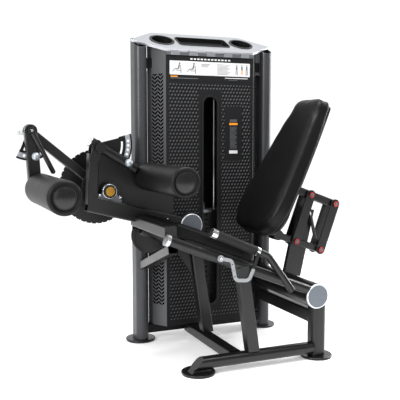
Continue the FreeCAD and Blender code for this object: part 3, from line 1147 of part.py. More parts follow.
build_tower()
build_shrouds()
build_top()
build_labels()
build_stack()
build_cable()
build_feet()
build_base()
build_seat()
build_grip()
build_pivot_beam()
build_lever()
build_ankle_arm()
build_roller("ankle_roller", ANKLE_X, ANKLE_Z, ANKLE_ROLLER_Y1, ROLLER_D)
build_roller("thigh_roller", THIGH_X, THIGH_Z, THIGH_ROLLER_Y1, THIGH_ROLLER_D)
build_thigh_arm()
build_backrest()
build_seat_lever()

# move everything so that the origin is the bottom centre of the bounding box
whole = FreeCAD.BoundBox()
for solids in nodes.values():
    for solid in solids:
        whole.add(solid.optimalBoundingBox(False, False))
shift = V(-(whole.XMin + whole.XMax) / 2, -(whole.YMin + whole.YMax) / 2, -whole.ZMin)
for name, solids in nodes.items():
    for solid in solids:
        solid.translate(shift)
    shape = solids[0] if len(solids) == 1 else Part.makeCompound(solids)
    shape.exportStep("parts/" + name + ".step")
print("nodes", len(nodes))
print("size", round(whole.XLength, 1), round(whole.YLength, 1), round(whole.ZLength, 1))
print("shift", round(shift.x, 4), round(shift.y, 4), round(shift.z, 4))
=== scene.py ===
from math import cos, hypot, pi, radians, sin, tan

import bmesh
import bpy
from mathutils import Matrix, Vector
from mathutils.bvhtree import BVHTree


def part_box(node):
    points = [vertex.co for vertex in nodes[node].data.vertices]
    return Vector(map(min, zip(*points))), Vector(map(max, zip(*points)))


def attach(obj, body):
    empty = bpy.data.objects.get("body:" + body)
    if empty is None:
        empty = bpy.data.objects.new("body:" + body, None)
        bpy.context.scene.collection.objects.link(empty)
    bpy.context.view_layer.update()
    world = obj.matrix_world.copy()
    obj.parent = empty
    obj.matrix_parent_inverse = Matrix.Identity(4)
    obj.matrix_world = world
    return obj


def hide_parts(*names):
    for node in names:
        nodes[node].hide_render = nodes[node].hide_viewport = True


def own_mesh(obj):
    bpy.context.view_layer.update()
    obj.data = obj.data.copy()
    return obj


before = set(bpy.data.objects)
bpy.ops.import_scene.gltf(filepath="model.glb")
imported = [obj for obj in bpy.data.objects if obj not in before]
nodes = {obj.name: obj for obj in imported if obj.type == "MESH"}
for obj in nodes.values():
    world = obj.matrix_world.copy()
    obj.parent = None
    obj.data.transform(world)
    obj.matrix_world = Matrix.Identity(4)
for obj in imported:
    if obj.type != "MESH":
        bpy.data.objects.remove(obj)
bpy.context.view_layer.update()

# the middle of the guide rods is the middle of the tower, the zero of every x and y below
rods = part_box("guide_rods")
SHIFT = Vector(((rods[0][0] + rods[1][0]) / 2, (rods[0][1] + rods[1][1]) / 2, 0))


def at(x, y, z):
    """A point of the machine in metres, from millimetres counted at the tower's middle."""
    return Vector((x / 1000, y / 1000, z / 1000)) + SHIFT


# centres (x, z) of round things that several pieces share
THIGH_PIVOT = (-612, 1009)
ANKLE_PIVOT = (-897, 1073)
REAR_CAP = (319, 298)
SEAT_CAP = (-137, 605)


# ---- node helpers -----------------------------------------------------------------------
class Nodes:
    """Small helper that builds one material's node tree."""

    def __init__(self, name):
        self.material = bpy.data.materials.new(name)
        self.material.use_nodes = True
        self.tree = self.material.node_tree
        self.shader = self.tree.nodes["Principled BSDF"]
        self.coords = self.tree.nodes.new("ShaderNodeTexCoord").outputs["Object"]

    def put(self, socket, value):
        if isinstance(value, bpy.types.NodeSocket):
            self.tree.links.new(value, socket)
        else:
            socket.default_value = value

    def math(self, operation, a, b=0.0, c=0.0):
        node = self.tree.nodes.new("ShaderNodeMath")
        node.operation = operation
        for socket, value in zip(node.inputs, (a, b, c)):
            self.put(socket, value)
        return node.outputs[0]

    def axes(self):
        """Coordinates in millimetres, counted at the tower's middle."""
        split = self.tree.nodes.new("ShaderNodeSeparateXYZ")
        self.put(split.inputs[0], self.coords)
        return [self.math("MULTIPLY", self.math("SUBTRACT", split.outputs[i], SHIFT[i]), 1000)
                for i in range(3)]

    def noise(self, scale, detail=3.0, stretch=(1, 1, 1)):
        mapping = self.tree.nodes.new("ShaderNodeMapping")
        mapping.inputs["Scale"].default_value = stretch
        self.put(mapping.inputs["Vector"], self.coords)
        node = self.tree.nodes.new("ShaderNodeTexNoise")
        node.inputs["Scale"].default_value = scale
        node.inputs["Detail"].default_value = detail
        self.put(node.inputs["Vector"], mapping.outputs[0])
        return node.outputs["Fac"]

    def radius(self, x, z, centre):
        """Distance from an axis along Y."""
        dx = self.math("POWER", self.math("SUBTRACT", x, centre[0]), 2)
        dz = self.math("POWER", self.math("SUBTRACT", z, centre[1]), 2)
        return self.math("SQRT", self.math("ADD", dx, dz))

    def between(self, value, low, high):
        above = self.math("GREATER_THAN", value, low)
        return self.math("MULTIPLY", above, self.math("LESS_THAN", value, high))

    def mix(self, fac, a, b):
        node = self.tree.nodes.new("ShaderNodeMix")
        node.data_type = "RGBA"
        self.put(node.inputs["Factor"], fac)
        for socket, value in ((node.inputs["A"], a), (node.inputs["B"], b)):
            if isinstance(value, bpy.types.NodeSocket):
                self.put(socket, value)
            else:
                socket.default_value = (*value, 1)
        return node.outputs["Result"]

    def remap(self, value, low, high):
        node = self.tree.nodes.new("ShaderNodeMapRange")
        node.inputs["To Min"].default_value = low
        node.inputs["To Max"].default_value = high
        self.put(node.inputs["Value"], value)
        return node.outputs["Result"]

    def bump(self, height, strength, distance):
        node = self.tree.nodes.new("ShaderNodeBump")
        node.inputs["Strength"].default_value = strength
        node.inputs["Distance"].default_value = distance
        self.put(node.inputs["Height"], height)
        normal = self.shader.inputs["Normal"]
        if normal.is_linked:
            self.put(node.inputs["Normal"], normal.links[0].from_socket)
        self.put(normal, node.outputs[0])

    def soft_edges(self, radius):
        node = self.tree.nodes.new("ShaderNodeBevel")
        node.samples = 4
        node.inputs["Radius"].default_value = radius
        self.put(self.shader.inputs["Normal"], node.outputs[0])

    def set(self, name, value):
        self.put(self.shader.inputs[name], value)

    def base(self):
        """The colour so far, to mix a pattern over."""
        return self.shader.inputs["Base Color"].links[0].from_socket


def tint(color, factor):
    return tuple(min(1, channel * factor) for channel in color)


def coated(name, color, rough=0.38, metal=0.0, grain=900.0, edge=0.0015, shine=0.3):
    """Powder coat or moulding: fine orange peel, slight colour drift and paler worn patches."""
    n = Nodes(name)
    if edge:
        n.soft_edges(edge)
    drift = n.noise(7, 4)
    worn = n.math("MULTIPLY", n.noise(60, 5), 0.25)
    base = n.mix(drift, tint(color, 0.86), tint(color, 1.18))
    n.set("Base Color", n.mix(worn, base, tint(color, 1.5)))
    n.set("Roughness", n.remap(n.noise(25, 4), rough - 0.06, rough + 0.08))
    n.set("Metallic", metal)
    n.set("Specular IOR Level", shine)
    n.bump(n.noise(grain, 2), 0.12, 0.0004)
    return n


def metal(name, color, rough=0.28, stretch=(1, 1, 40), edge=0.0012):
    """Bare or plated metal with a faint brushed direction."""
    n = Nodes(name)
    if edge:
        n.soft_edges(edge)
    brushed = n.noise(120, 4, stretch)
    n.set("Base Color", n.mix(brushed, tint(color, 0.88), tint(color, 1.08)))
    n.set("Metallic", 1.0)
    n.set("Roughness", n.remap(brushed, rough - 0.06, rough + 0.1))
    n.bump(brushed, 0.05, 0.0003)
    return n


def soft(name, color, rough, cell, depth):
    """Vinyl or foam skin: a leather-like cell grain over a slow unevenness."""
    n = Nodes(name)
    cells = n.tree.nodes.new("ShaderNodeTexVoronoi")
    cells.feature = "SMOOTH_F1"
    cells.inputs["Scale"].default_value = cell
    n.put(cells.inputs["Vector"], n.coords)
    n.set("Base Color", n.mix(n.noise(9, 5), tint(color, 0.8), tint(color, 1.25)))
    n.set("Roughness", n.remap(n.noise(40, 4), rough - 0.07, rough + 0.07))
    n.set("Specular IOR Level", 0.2)
    n.bump(n.noise(14, 3), 0.25, 0.002)
    n.bump(cells.outputs["Distance"], depth, 0.0006)
    return n


BLACK = (0.005, 0.0051, 0.0055)
frame_paint = coated("frame_paint", BLACK, 0.3, shine=0.45).material
plastic = coated("moulded_black", (0.007, 0.007, 0.0075), 0.42, grain=500).material
rubber = coated("rubber_black", (0.009, 0.009, 0.0095), 0.6, grain=300, edge=0.0).material
stack_paint = coated("stack_paint", (0.011, 0.011, 0.012), 0.4).material
cable_skin = coated("cable_skin", (0.01, 0.01, 0.011), 0.3, grain=200, edge=0.0).material
silver = metal("silver_trim", (0.74, 0.75, 0.77), 0.22).material
steel = metal("satin_steel", (0.6, 0.61, 0.63), 0.25).material
chrome = metal("polished_rod", (0.86, 0.88, 0.92), 0.1, edge=0.0).material
cast = metal("cast_housing", (0.16, 0.17, 0.185), 0.5, (1, 1, 1)).material
gold = coated("gold_cap", (0.33, 0.17, 0.02), 0.45, 0.5, edge=0.0).material
ball = coated("satin_ball", (0.36, 0.39, 0.43), 0.33, 0.55, edge=0.0).material
pale = coated("pale_knob", (0.66, 0.67, 0.68), 0.4).material
white = coated("print_white", (0.62, 0.62, 0.62), 0.45, edge=0.0).material
ink = coated("print_black", (0.008, 0.008, 0.009), 0.35, edge=0.0).material
grey_ink = coated("print_grey", (0.13, 0.135, 0.14), 0.45, edge=0.0).material
orange = coated("print_orange", (0.85, 0.28, 0.02), 0.45, edge=0.0).material
gloss = coated("cap_gloss", (0.004, 0.004, 0.0042), 0.26, shine=0.5).material
red = coated("pin_ring_red", (0.5, 0.02, 0.02), 0.4, edge=0.0).material
vinyl = soft("vinyl_black", (0.004, 0.004, 0.0042), 0.42, 420, 0.35).material
foam = soft("foam_black", (0.0045, 0.0045, 0.0048), 0.45, 700, 0.3).material


def panel_dots():
    """Front shroud sheet with small raised lozenges, plain round the slot and the label; the
    lozenges are painted paler as a painted highlight.
    """
    n = coated("panel_dots", (0.011, 0.0112, 0.012), 0.42, shine=0.15)
    x, y, z = n.axes()
    pitch = 17.5
    row = n.math("FLOOR", n.math("DIVIDE", z, pitch))
    odd = n.math("MODULO", n.math("ABSOLUTE", row), 2)
    across = n.math("ADD", n.math("DIVIDE", x, pitch), n.math("MULTIPLY", odd, 0.5))
    cell_x = n.math("SUBTRACT", n.math("FRACT", n.math("ADD", across, 100)), 0.5)
    cell_z = n.math("SUBTRACT", n.math("FRACT", n.math("DIVIDE", z, pitch)), 0.5)
    leaning = n.math("SUBTRACT", cell_x, n.math("MULTIPLY", cell_z, 0.5))
    slant = n.math("ADD", n.math("ABSOLUTE", leaning),
                   n.math("MULTIPLY", n.math("ABSOLUTE", cell_z), 0.8))
    raised = n.math("SMOOTH_MIN", n.math("MULTIPLY", n.math("SUBTRACT", 0.36, slant), 5), 1, 0.3)
    raised = n.math("MAXIMUM", raised, 0)
    area = n.math("MULTIPLY", n.between(x, -226, 226), n.between(z, 112, 1306))
    slot = n.math("MULTIPLY", n.between(x, -68, 62), n.between(z, 140, 1282))
    label = n.math("MULTIPLY", n.between(x, 78, 180), n.between(z, 918, 1200))
    plain = n.math("MAXIMUM", slot, label)
    area = n.math("MULTIPLY", area, n.math("SUBTRACT", 1, plain))
    raised = n.math("MULTIPLY", raised, area)
    base = n.base()
    # painted highlight: the raised lozenges get a paler colour where light would catch them
    lozenge_highlight = n.math("MULTIPLY", raised, 0.85)
    ground = n.mix(n.math("MULTIPLY", area, 0.6), base, (0.004, 0.004, 0.0042))
    n.set("Base Color", n.mix(lozenge_highlight, ground, (0.12, 0.122, 0.128)))
    n.bump(raised, 0.9, 0.002)
    return n.material


def panel_slits():
    """Corner sheets with a column of slits that zigzag, painted near-black as painted shade inside
    the openings.
    """
    n = coated("panel_slits", (0.085, 0.086, 0.09), 0.38, 0.3)
    x, y, z = n.axes()
    pitch = 15.0
    column = n.math("DIVIDE", n.math("ADD", y, 100), pitch)
    flip = n.math("SUBTRACT", n.math("MULTIPLY", n.math("MODULO", n.math("FLOOR", column), 2), 2), 1)
    across = n.math("SUBTRACT", n.math("FRACT", column), 0.5)
    inner = n.math("MULTIPLY", across, flip)
    run = n.math("ADD", n.math("DIVIDE", z, 19.0), n.math("MULTIPLY", inner, 0.8))
    slit = n.math("LESS_THAN", n.math("FRACT", run), 0.56)
    edge = n.math("LESS_THAN", n.math("ABSOLUTE", across), 0.46)
    area = n.math("MULTIPLY", n.between(y, -84, -23), n.between(z, 190, 1355))
    slit = n.math("MULTIPLY", n.math("MULTIPLY", slit, edge), area)
    base = n.base()
    # painted shade: the slits get a near-black colour and lose their specular and metal
    n.set("Base Color", n.mix(slit, base, (0.0005, 0.0005, 0.0005)))
    n.set("Specular IOR Level", n.remap(slit, 0.4, 0.0))
    n.set("Metallic", n.remap(slit, 0.3, 0.0))
    n.bump(n.math("SUBTRACT", 1, slit), 0.8, 0.002)
    return n.material


def silver_top():
    """Brushed top sheet; the toothed lip is grey and its teeth are bright."""
    n = metal("silver_top", (0.5, 0.515, 0.54), 0.36, (1, 30, 30))
    x, y, z = n.axes()
    lip = n.math("MULTIPLY", n.math("LESS_THAN", z, 1463), n.between(y, -102, -96))
    base = n.base()
    n.set("Base Color", n.mix(lip, base, (0.24, 0.25, 0.28)))
    return n.material


def cap_face():
    """Tube end caps: satin blue-grey face in a bright rim."""
    n = metal("cap_face", (0.17, 0.19, 0.215), 0.4, (1, 1, 1), 0.0)
    x, y, z = n.axes()
    rims = []
    for centre in (REAR_CAP, SEAT_CAP):
        rims.append(n.between(n.radius(x, z, centre), 53, 70))
    rim = n.math("MAXIMUM", rims[0], rims[1])
    base = n.base()
    n.set("Base Color", n.mix(rim, base, (0.85, 0.87, 0.9)))
    n.set("Metallic", 0.75)
    return n.material


def tower_paint():
    """Dark metallic posts; the cross beams behind the shrouds are black."""
    n = coated("tower_paint", (0.052, 0.053, 0.057), 0.33, 0.4)
    x, y, z = n.axes()
    base = n.base()
    n.set("Base Color", n.mix(n.between(x, -317, 317), base, (0.004, 0.004, 0.004)))
    return n.material


def tipped(name, inside, tip, tip_metal, rest, rest_metal):
    """One node in two finishes: the tip is where inside(n, x, z) is one."""
    n = coated(name, rest, 0.34, rest_metal)
    x, y, z = n.axes()
    mask = inside(n, x, z)
    base = n.base()
    n.set("Base Color", n.mix(mask, base, tip))
    n.set("Metallic", n.remap(mask, rest_metal, tip_metal))
    return n.material


def arm_cap(n, x, z):
    """The end of the thigh arm beyond its pivot."""
    along = n.math("SUBTRACT", n.math("MULTIPLY", n.math("SUBTRACT", x, THIGH_PIVOT[0]), 0.859),
                   n.math("MULTIPLY", n.math("SUBTRACT", z, THIGH_PIVOT[1]), 0.512))
    return n.math("LESS_THAN", along, -26)


def hook_grip(n, x, z):
    """The finger end of the seat lever."""
    along = n.math("ADD", n.math("MULTIPLY", n.math("ADD", x, 31), 0.35),
                   n.math("MULTIPLY", n.math("SUBTRACT", z, 452), 0.937))
    return n.math("MULTIPLY", n.math("GREATER_THAN", along, 6), n.math("GREATER_THAN", x, -60))


def index_plate(name, centre, inner, outer):
    """Black sector with a silver band where the index holes are."""
    n = coated(name, BLACK, 0.35)
    x, y, z = n.axes()
    band = n.between(n.radius(x, z, centre), inner, outer)
    base = n.base()
    n.set("Base Color", n.mix(band, base, (0.5, 0.53, 0.58)))
    n.set("Metallic", n.math("MULTIPLY", band, 0.8))
    return n.material


finish = {
    frame_paint: ["base_frame", "seat_frame", "pivot_frame", "guard_plate", "pulley_cover",
                  "grip_tube", "back_column", "lever_arm", "cam_disc", "cable_drum", "ankle_arm",
                  "release_handle", "front_links", "rear_links", "back_carriage",
                  "gas_spring_body", "seat_board", "foot_discs", "back_board", "rear_shroud"],
    tower_paint(): ["tower_frame"],
    tipped("arm_paint", arm_cap, (0.8, 0.81, 0.83), 0.9, BLACK, 0.0): ["thigh_arm"],
    tipped("hook_metal", hook_grip, BLACK, 0.0, (0.3, 0.31, 0.32), 0.6): ["adjust_lever"],
    gloss: ["ankle_roller_cap", "thigh_roller_cap"],
    plastic: ["slot_bezel", "top_liners", "thigh_clamp_knob", "guide_pulley", "side_pulley",
              "centre_pulley", "selector_pin", "bearing_cap"],
    rubber: ["stack_bumpers", "foot_pads", "hand_grip"],
    stack_paint: ["resting_plates", "lifted_plates"],
    cable_skin: ["lift_cable", "lift_cable_drop"],
    silver: ["frame_trim"],
    steel: ["lever_shafts", "gas_spring_rod", "selector_stem"],
    ball: ["ankle_pop_pin", "thigh_pop_pin"],
    chrome: ["guide_rods"],
    cast: ["pillow_blocks"],
    pale: ["arm_end_knob"],
    panel_dots(): ["front_shroud"],
    panel_slits(): ["corner_panels"],
    silver_top(): ["top_plate"],
    cap_face(): ["tube_end_caps"],
    index_plate("thigh_index", THIGH_PIVOT, 160, 184): ["thigh_index_plate"],
    index_plate("ankle_index", ANKLE_PIVOT, 108, 132): ["ankle_index_plate"],
}
for material, names in finish.items():
    for name in names:
        mesh = nodes[name].data
        mesh.materials.clear()
        mesh.materials.append(material)


# ---- mesh helpers -----------------------------------------------------------------------
def new_object(name, mesh, material, body, smooth=True):
    obj = bpy.data.objects.new(name, mesh)
    bpy.context.scene.collection.objects.link(obj)
    if material:
        mesh.materials.append(material)
    for face in mesh.polygons:
        face.use_smooth = smooth
    if body:
        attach(obj, body)
    return obj


def from_rings(name, rings):
    """Skin over closed rings of points; a ring of one point closes an end."""
    bm = bmesh.new()
    made = [[bm.verts.new(point) for point in ring] for ring in rings]
    for lower, upper in zip(made, made[1:]):
        count = max(len(lower), len(upper))
        for i in range(count):
            j = (i + 1) % count
            if len(lower) == 1:
                bm.faces.new((lower[0], upper[j], upper[i]))
            elif len(upper) == 1:
                bm.faces.new((lower[i], lower[j], upper[0]))
            else:
                bm.faces.new((lower[i], lower[j], upper[j], upper[i]))
    bmesh.ops.recalc_face_normals(bm, faces=bm.faces)
    mesh = bpy.data.meshes.new(name)
    bm.to_mesh(mesh)
    bm.free()
    return mesh


def lathe(name, x, z, profile, material, body, slot, sides=72):
    """A turned piece about an axis along Y. profile holds (y, radius) in millimetres."""
    rings = []
    for y, radius in profile:
        if radius == 0:
            rings.append([at(x, y, z)])
            continue
        angles = [2 * pi * i / sides for i in range(sides)]
        rings.append([at(x + radius * cos(a), y, z + radius * sin(a)) for a in angles])
    return new_object(name, from_rings(name, rings), material, body)


def smooth_loop(points, steps):
    """A closed Catmull-Rom curve through the points."""
    loop = []
    count = len(points)
    for i in range(count):
        p0, p1, p2, p3 = (points[(i + k - 1) % count] for k in range(4))
        for k in range(steps):
            t = k / steps
            loop.append(0.5 * (2 * p1 + (p2 - p0) * t + (2 * p0 - 5 * p1 + 4 * p2 - p3) * t ** 2
                               + (3 * p1 - p0 - 3 * p2 + p3) * t ** 3))
    return loop


def inset(loop, distance):
    """The loop moved inwards by a distance; loops here run anticlockwise."""
    moved = []
    for before, point, after in zip(loop[-1:] + loop[:-1], loop, loop[1:] + loop[:1]):
        along = (after - before).normalized()
        moved.append(point + Vector((-along.y, along.x)) * distance)
    return moved


def pad_rings(loop, middle, thick, edge, crown, place):
    """Crowned cushion from an outline: depth 0 is the side that is sat on or leaned on."""
    front = inset(loop, edge)
    core = inset(loop, edge * 0.9)
    rings = [[place(middle, crown * 0.12)]]
    for share in (0.2, 0.4, 0.6, 0.8, 0.92):
        depth = crown * (0.12 + 0.6 * share ** 3)
        rings.append([place(middle + (p - middle) * share, depth) for p in front])
    turns = 6
    for i in range(turns + 1):
        angle = pi / 2 * i / turns
        rim = inset(loop, edge * (1 - sin(angle)))
        rings.append([place(p, crown * 0.9 + edge * (1 - cos(angle)) * 0.9) for p in rim])
    low = thick - edge * 0.35
    for depth in (thick * 0.5, low):
        rings.append([place(p, depth) for p in loop])
    for i in range(1, 4):
        angle = pi / 2 * i / 3
        rim = inset(loop, edge * 0.35 * (1 - cos(angle)))
        rings.append([place(p, low + edge * 0.35 * sin(angle)) for p in rim])
    for share in (0.7, 0.35):
        rings.append([place(middle + (p - middle) * share, thick) for p in core])
    rings.append([place(middle, thick)])
    return rings


def inflate(obj, voxel, cap, held):
    """A short pressure simulation that gives a cushion its stuffed fullness."""
    scene = bpy.context.scene
    bpy.context.view_layer.objects.active = obj
    remesh = obj.modifiers.new("remesh", "REMESH")
    remesh.mode = "VOXEL"
    remesh.voxel_size = voxel
    bpy.ops.object.modifier_apply(modifier=remesh.name)
    rest = [v.co.copy() for v in obj.data.vertices]
    cloth = obj.modifiers.new("cloth", "CLOTH")
    cloth.settings.use_pressure = True
    cloth.settings.uniform_pressure_force = 4
    cloth.settings.quality = 4
    cloth.settings.mass = 0.3
    cloth.settings.tension_stiffness = 25
    cloth.settings.compression_stiffness = 25
    cloth.settings.effector_weights.gravity = 0
    for step in range(1, 21):
        scene.frame_set(step)
    evaluated = obj.evaluated_get(bpy.context.evaluated_depsgraph_get())
    moved = [v.co.copy() for v in evaluated.data.vertices]
    obj.modifiers.remove(cloth)
    scene.frame_set(1)
    for vertex, start, end in zip(obj.data.vertices, rest, moved):
        move = end - start
        if move.length > cap:
            move = move.normalized() * cap
        vertex.co = start + move * held(start)
    smoother = obj.modifiers.new("even", "SMOOTH")
    smoother.factor = 0.5
    smoother.iterations = 6
    bpy.ops.object.modifier_apply(modifier=smoother.name)


def seam(name, points, surface, body, radius=0.0013):
    """A sewn seam that lies on a cushion's skin."""
    tree = BVHTree.FromPolygons([v.co for v in surface.data.vertices],
                                [tuple(p.vertices) for p in surface.data.polygons])
    data = bpy.data.curves.new(name, "CURVE")
    data.dimensions = "3D"
    data.bevel_depth = radius
    data.bevel_resolution = 2
    spline = data.splines.new("POLY")
    spline.points.add(len(points) - 1)
    spline.use_cyclic_u = True
    for target, point in zip(spline.points, points):
        spot, normal = tree.find_nearest(point)[:2]
        target.co = (*(spot + normal * radius * 0.2), 1)
    curve = bpy.data.objects.new(name + "_curve", data)
    bpy.context.scene.collection.objects.link(curve)
    mesh = bpy.data.meshes.new_from_object(curve)
    bpy.data.objects.remove(curve)
    return new_object(name, mesh, vinyl, body)


def cushion(name, loop, middle, thick, edge, crown, place, body, node, cap):
    mesh = from_rings(name, pad_rings(loop, middle, thick, edge, crown, place))
    pad = bpy.data.objects.new(name, mesh)
    bpy.context.scene.collection.objects.link(pad)
    outward = (place(middle, 0) - place(middle, thick)).normalized()
    base = place(middle, thick)

    def held(point):
        height = (point - base).dot(outward)
        return max(0.0, min(1.0, (height - 0.012) / 0.02))

    inflate(pad, 0.006, cap, held)
    mesh.materials.append(vinyl)
    for face in mesh.polygons:
        face.use_smooth = True
    finer = pad.modifiers.new("finer", "SUBSURF")
    finer.levels = 1
    finer.render_levels = 1
    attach(pad, body)
    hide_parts(node)
    front = [place(p, crown * 0.9 + edge * 0.28) for p in inset(loop, edge * 0.28)]
    seam(name + "_front_seam", front, pad, body)
    back = [place(p, thick - edge * 0.6) for p in loop]
    seam(name + "_back_seam", back, pad, body)
    return pad


# ---- back cushion -----------------------------------------------------------------------
PAD_LEAN = radians(28.7)
half = [(0, 3), (90, 5), (148, 24), (184, 66), (204, 140), (198, 262), (178, 415), (150, 580),
        (129, 655), (118, 705), (96, 732), (56, 738), (0, 739)]
right = [Vector(p) for p in half]
left = [Vector((-x, y)) for x, y in half[-2:0:-1]]
back_loop = smooth_loop(right + left, 6)


def on_back(point, depth):
    along = Vector((sin(PAD_LEAN), 0, cos(PAD_LEAN))) * point.y / 1000
    inward = Vector((cos(PAD_LEAN), 0, -sin(PAD_LEAN))) * depth / 1000
    return at(70, -345 + point.x, 597) + along + inward


cushion("back_pad", back_loop, Vector((0, 345)), 73.0, 24.0, 9.0, on_back, "back_rest",
        "back_cushion", 0.006)

# ---- seat cushion -----------------------------------------------------------------------
SEAT_TILT = radians(21.5)
SEAT_X0 = -400              # the cushion's lower, outer corner
SEAT_RUN = 430              # its length on the floor plan
SEAT_THICK = 57.0
RAIL_AT = (-420, 604)       # a point of the rails' centre line
STACKED = 22.5 + 0.3 + 8 + 0.3      # half a rail, a gap, the board and a gap
seat_length = SEAT_RUN / cos(SEAT_TILT)
wide = 188.0
seat_half = [(9, 0), (4, 90), (5, 150), (11, 176), (34, wide - 1), (160, wide), (300, wide),
             (seat_length - 48, wide - 3), (seat_length - 14, 156), (seat_length - 3, 90),
             (seat_length - 2, 0)]
one_side = [Vector(p) for p in seat_half]
other_side = [Vector((x, -y)) for x, y in seat_half[-2:0:-1]]
seat_loop = smooth_loop((one_side + other_side)[::-1], 6)
seat_low = RAIL_AT[1] - (SEAT_X0 - RAIL_AT[0]) * tan(SEAT_TILT) + STACKED / cos(SEAT_TILT)


def on_seat(point, depth):
    along = Vector((cos(SEAT_TILT), 0, -sin(SEAT_TILT))) * point.x / 1000
    upward = Vector((sin(SEAT_TILT), 0, cos(SEAT_TILT))) * (SEAT_THICK - depth) / 1000
    return at(SEAT_X0, -375 + point.y, seat_low) + along + upward


cushion("seat_pad", seat_loop, Vector((seat_length / 2, 0)), SEAT_THICK - 0.5, 20.0, 8.0, on_seat,
        "frame", "seat_cushion", 0.005)


# ---- roller foams -----------------------------------------------------------------------
def roller(name, x, z, y_far, diameter, body, node):
    """Foam sleeve with full rounded ends, a shallow waist and a pocket for its end cap."""
    r = diameter / 2
    near = -617.0
    profile = [(y_far - 1, 12.5), (y_far - 0.5, r - 22)]
    for i in range(7):
        angle = pi / 2 * i / 6
        profile.append((y_far - 14 + 14 * cos(angle), r - 15 + 14 * sin(angle)))
    steps = 10
    for i in range(1, steps):
        share = i / steps
        profile.append((y_far - 14 + (near + 28 - y_far) * share, r - 1 - 1.2 * sin(pi * share)))
    for i in range(7):
        angle = pi / 2 * i / 6
        profile.append((near + 14 - 13.5 * sin(angle), r - 15 + 14 * cos(angle)))
    profile += [(near + 1.2, 57.5), (near + 3.5, 55.6), (near + 7.5, 55.2), (near + 8.6, 53.0),
                (near + 8.9, 30), (near + 8.9, 12.5)]
    piece = lathe(name, x, z, profile + profile[:1], foam, body, "foam_black", 96)
    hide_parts(node)
    return piece


roller("ankle_pad", -862, 803, -72, 147, "ankle_roller", "ankle_roller_foam")
roller("thigh_pad", -345, 850, -116, 140, "thigh_roller", "thigh_roller_foam")


# ---- cable above the stack ---------------------------------------------------------------
CABLE_R = 3
drop_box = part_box("lift_cable_drop")
drop_low, drop_high = drop_box[0][2] * 1000, drop_box[1][2] * 1000
drop_rings = [[at(0, 0, drop_low)]]
for height in (drop_low, drop_high):
    drop_rings.append([at(CABLE_R * cos(pi * i / 8), CABLE_R * sin(pi * i / 8), height)
                       for i in range(16)])
drop_rings.append([at(0, 0, drop_high)])
cable_drop = new_object("cable_drop", from_rings("cable_drop", drop_rings), cable_skin, "frame")
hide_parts("lift_cable_drop")
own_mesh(cable_drop)


# ---- printed panels ---------------------------------------------------------------------
class Print:
    """Thin raised inks on the front shroud, as one mesh with several materials."""

    def __init__(self, name, back):
        self.name = name
        self.back = back
        self.bm = bmesh.new()
        self.materials = []

    def shape(self, points, material, layer=1):
        if material not in self.materials:
            self.materials.append(material)
        y1 = self.back
        y0 = self.back - 0.25 - 0.15 * layer
        top = [self.bm.verts.new(at(x, y0, z)) for x, z in points]
        low = [self.bm.verts.new(at(x, y1, z)) for x, z in points]
        faces = [self.bm.faces.new(top), self.bm.faces.new(low[::-1])]
        for i in range(len(points)):
            j = (i + 1) % len(points)
            faces.append(self.bm.faces.new((top[j], top[i], low[i], low[j])))
        for face in faces:
            face.material_index = self.materials.index(material)

    def bar(self, x0, x1, z0, z1, material, layer=1):
        self.shape([(x0, z0), (x1, z0), (x1, z1), (x0, z1)], material, layer)

    def dot(self, x, z, radius, material, layer=2):
        self.shape([(x + radius * cos(pi * i / 8), z + radius * sin(pi * i / 8))
                    for i in range(16)], material, layer)

    def stroke(self, x0, z0, x1, z1, wide, material, layer=2):
        length = hypot(x1 - x0, z1 - z0)
        dx, dz = -(z1 - z0) / length * wide / 2, (x1 - x0) / length * wide / 2
        self.shape([(x0 - dx, z0 - dz), (x1 - dx, z1 - dz), (x1 + dx, z1 + dz), (x0 + dx, z0 + dz)],
                   material, layer)

    def finish(self):
        bmesh.ops.recalc_face_normals(self.bm, faces=self.bm.faces)
        mesh = bpy.data.meshes.new(self.name)
        self.bm.to_mesh(mesh)
        self.bm.free()
        for material in self.materials:
            mesh.materials.append(material)
        return new_object(self.name, mesh, None, "frame", smooth=False)


board = Print("printed_panels", -97.05)
board.bar(-225, 225, 1325, 1440, ink, 4)
board.bar(-222, 222, 1351, 1419, white, 6)
board.bar(-218, -180, 1340, 1345, orange, 6)
board.bar(-218, -70, 1333, 1335.5, grey_ink, 6)
board.bar(80, 210, 1340, 1343.5, white, 6)
board.bar(100, 150, 1332, 1334, grey_ink, 6)
for i in range(12):
    board.bar(-112 + 19 * i, -100 + 19 * i, 1427, 1434, white, 6)
for x in (-186, -108):
    board.dot(x + 16, 1407, 5, grey_ink, 8)
    board.stroke(x + 15, 1401, x + 10, 1380, 8, grey_ink, 8)
    board.stroke(x + 10, 1380, x - 8, 1380, 5, grey_ink, 8)
    board.stroke(x - 8, 1380, x - 22, 1366, 4, grey_ink, 8)
    board.stroke(x + 22, 1398, x + 24, 1358, 4, grey_ink, 8)
    board.stroke(x - 4, 1372, x + 24, 1372, 3, grey_ink, 8)
for i in range(3):
    board.bar(-52, -4 - 6 * i, 1405 - 6 * i, 1407.5 - 6 * i, grey_ink, 8)
for i in range(9):
    board.bar(36, 108 - 7 * (i % 3), 1407 - 6 * i, 1409 - 6 * i, grey_ink, 8)
for x in (146, 176, 204):
    board.dot(x, 1408, 3.4, grey_ink, 8)
    board.stroke(x, 1403, x, 1384, 9, grey_ink, 8)
    board.stroke(x - 3, 1383, x - 4, 1360, 3.6, orange if x == 176 else grey_ink, 8)
    board.stroke(x + 3, 1383, x + 4, 1360, 3.6, orange if x == 176 else grey_ink, 8)
board.bar(103, 155, 955, 1135, ink, 3)
board.bar(105, 153, 1104, 1114, orange, 5)
for i in range(3):
    board.bar(109, 149, 1119 + 5 * i, 1121.5 + 5 * i, grey_ink, 5)
for i in range(19):
    board.bar(109, 148 - 9 * (i % 4 == 3), 984 + 6 * i, 986 + 6 * i, grey_ink, 5)
board.bar(105, 153, 957, 973, white, 5)
printed = board.finish()
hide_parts("panel_labels")
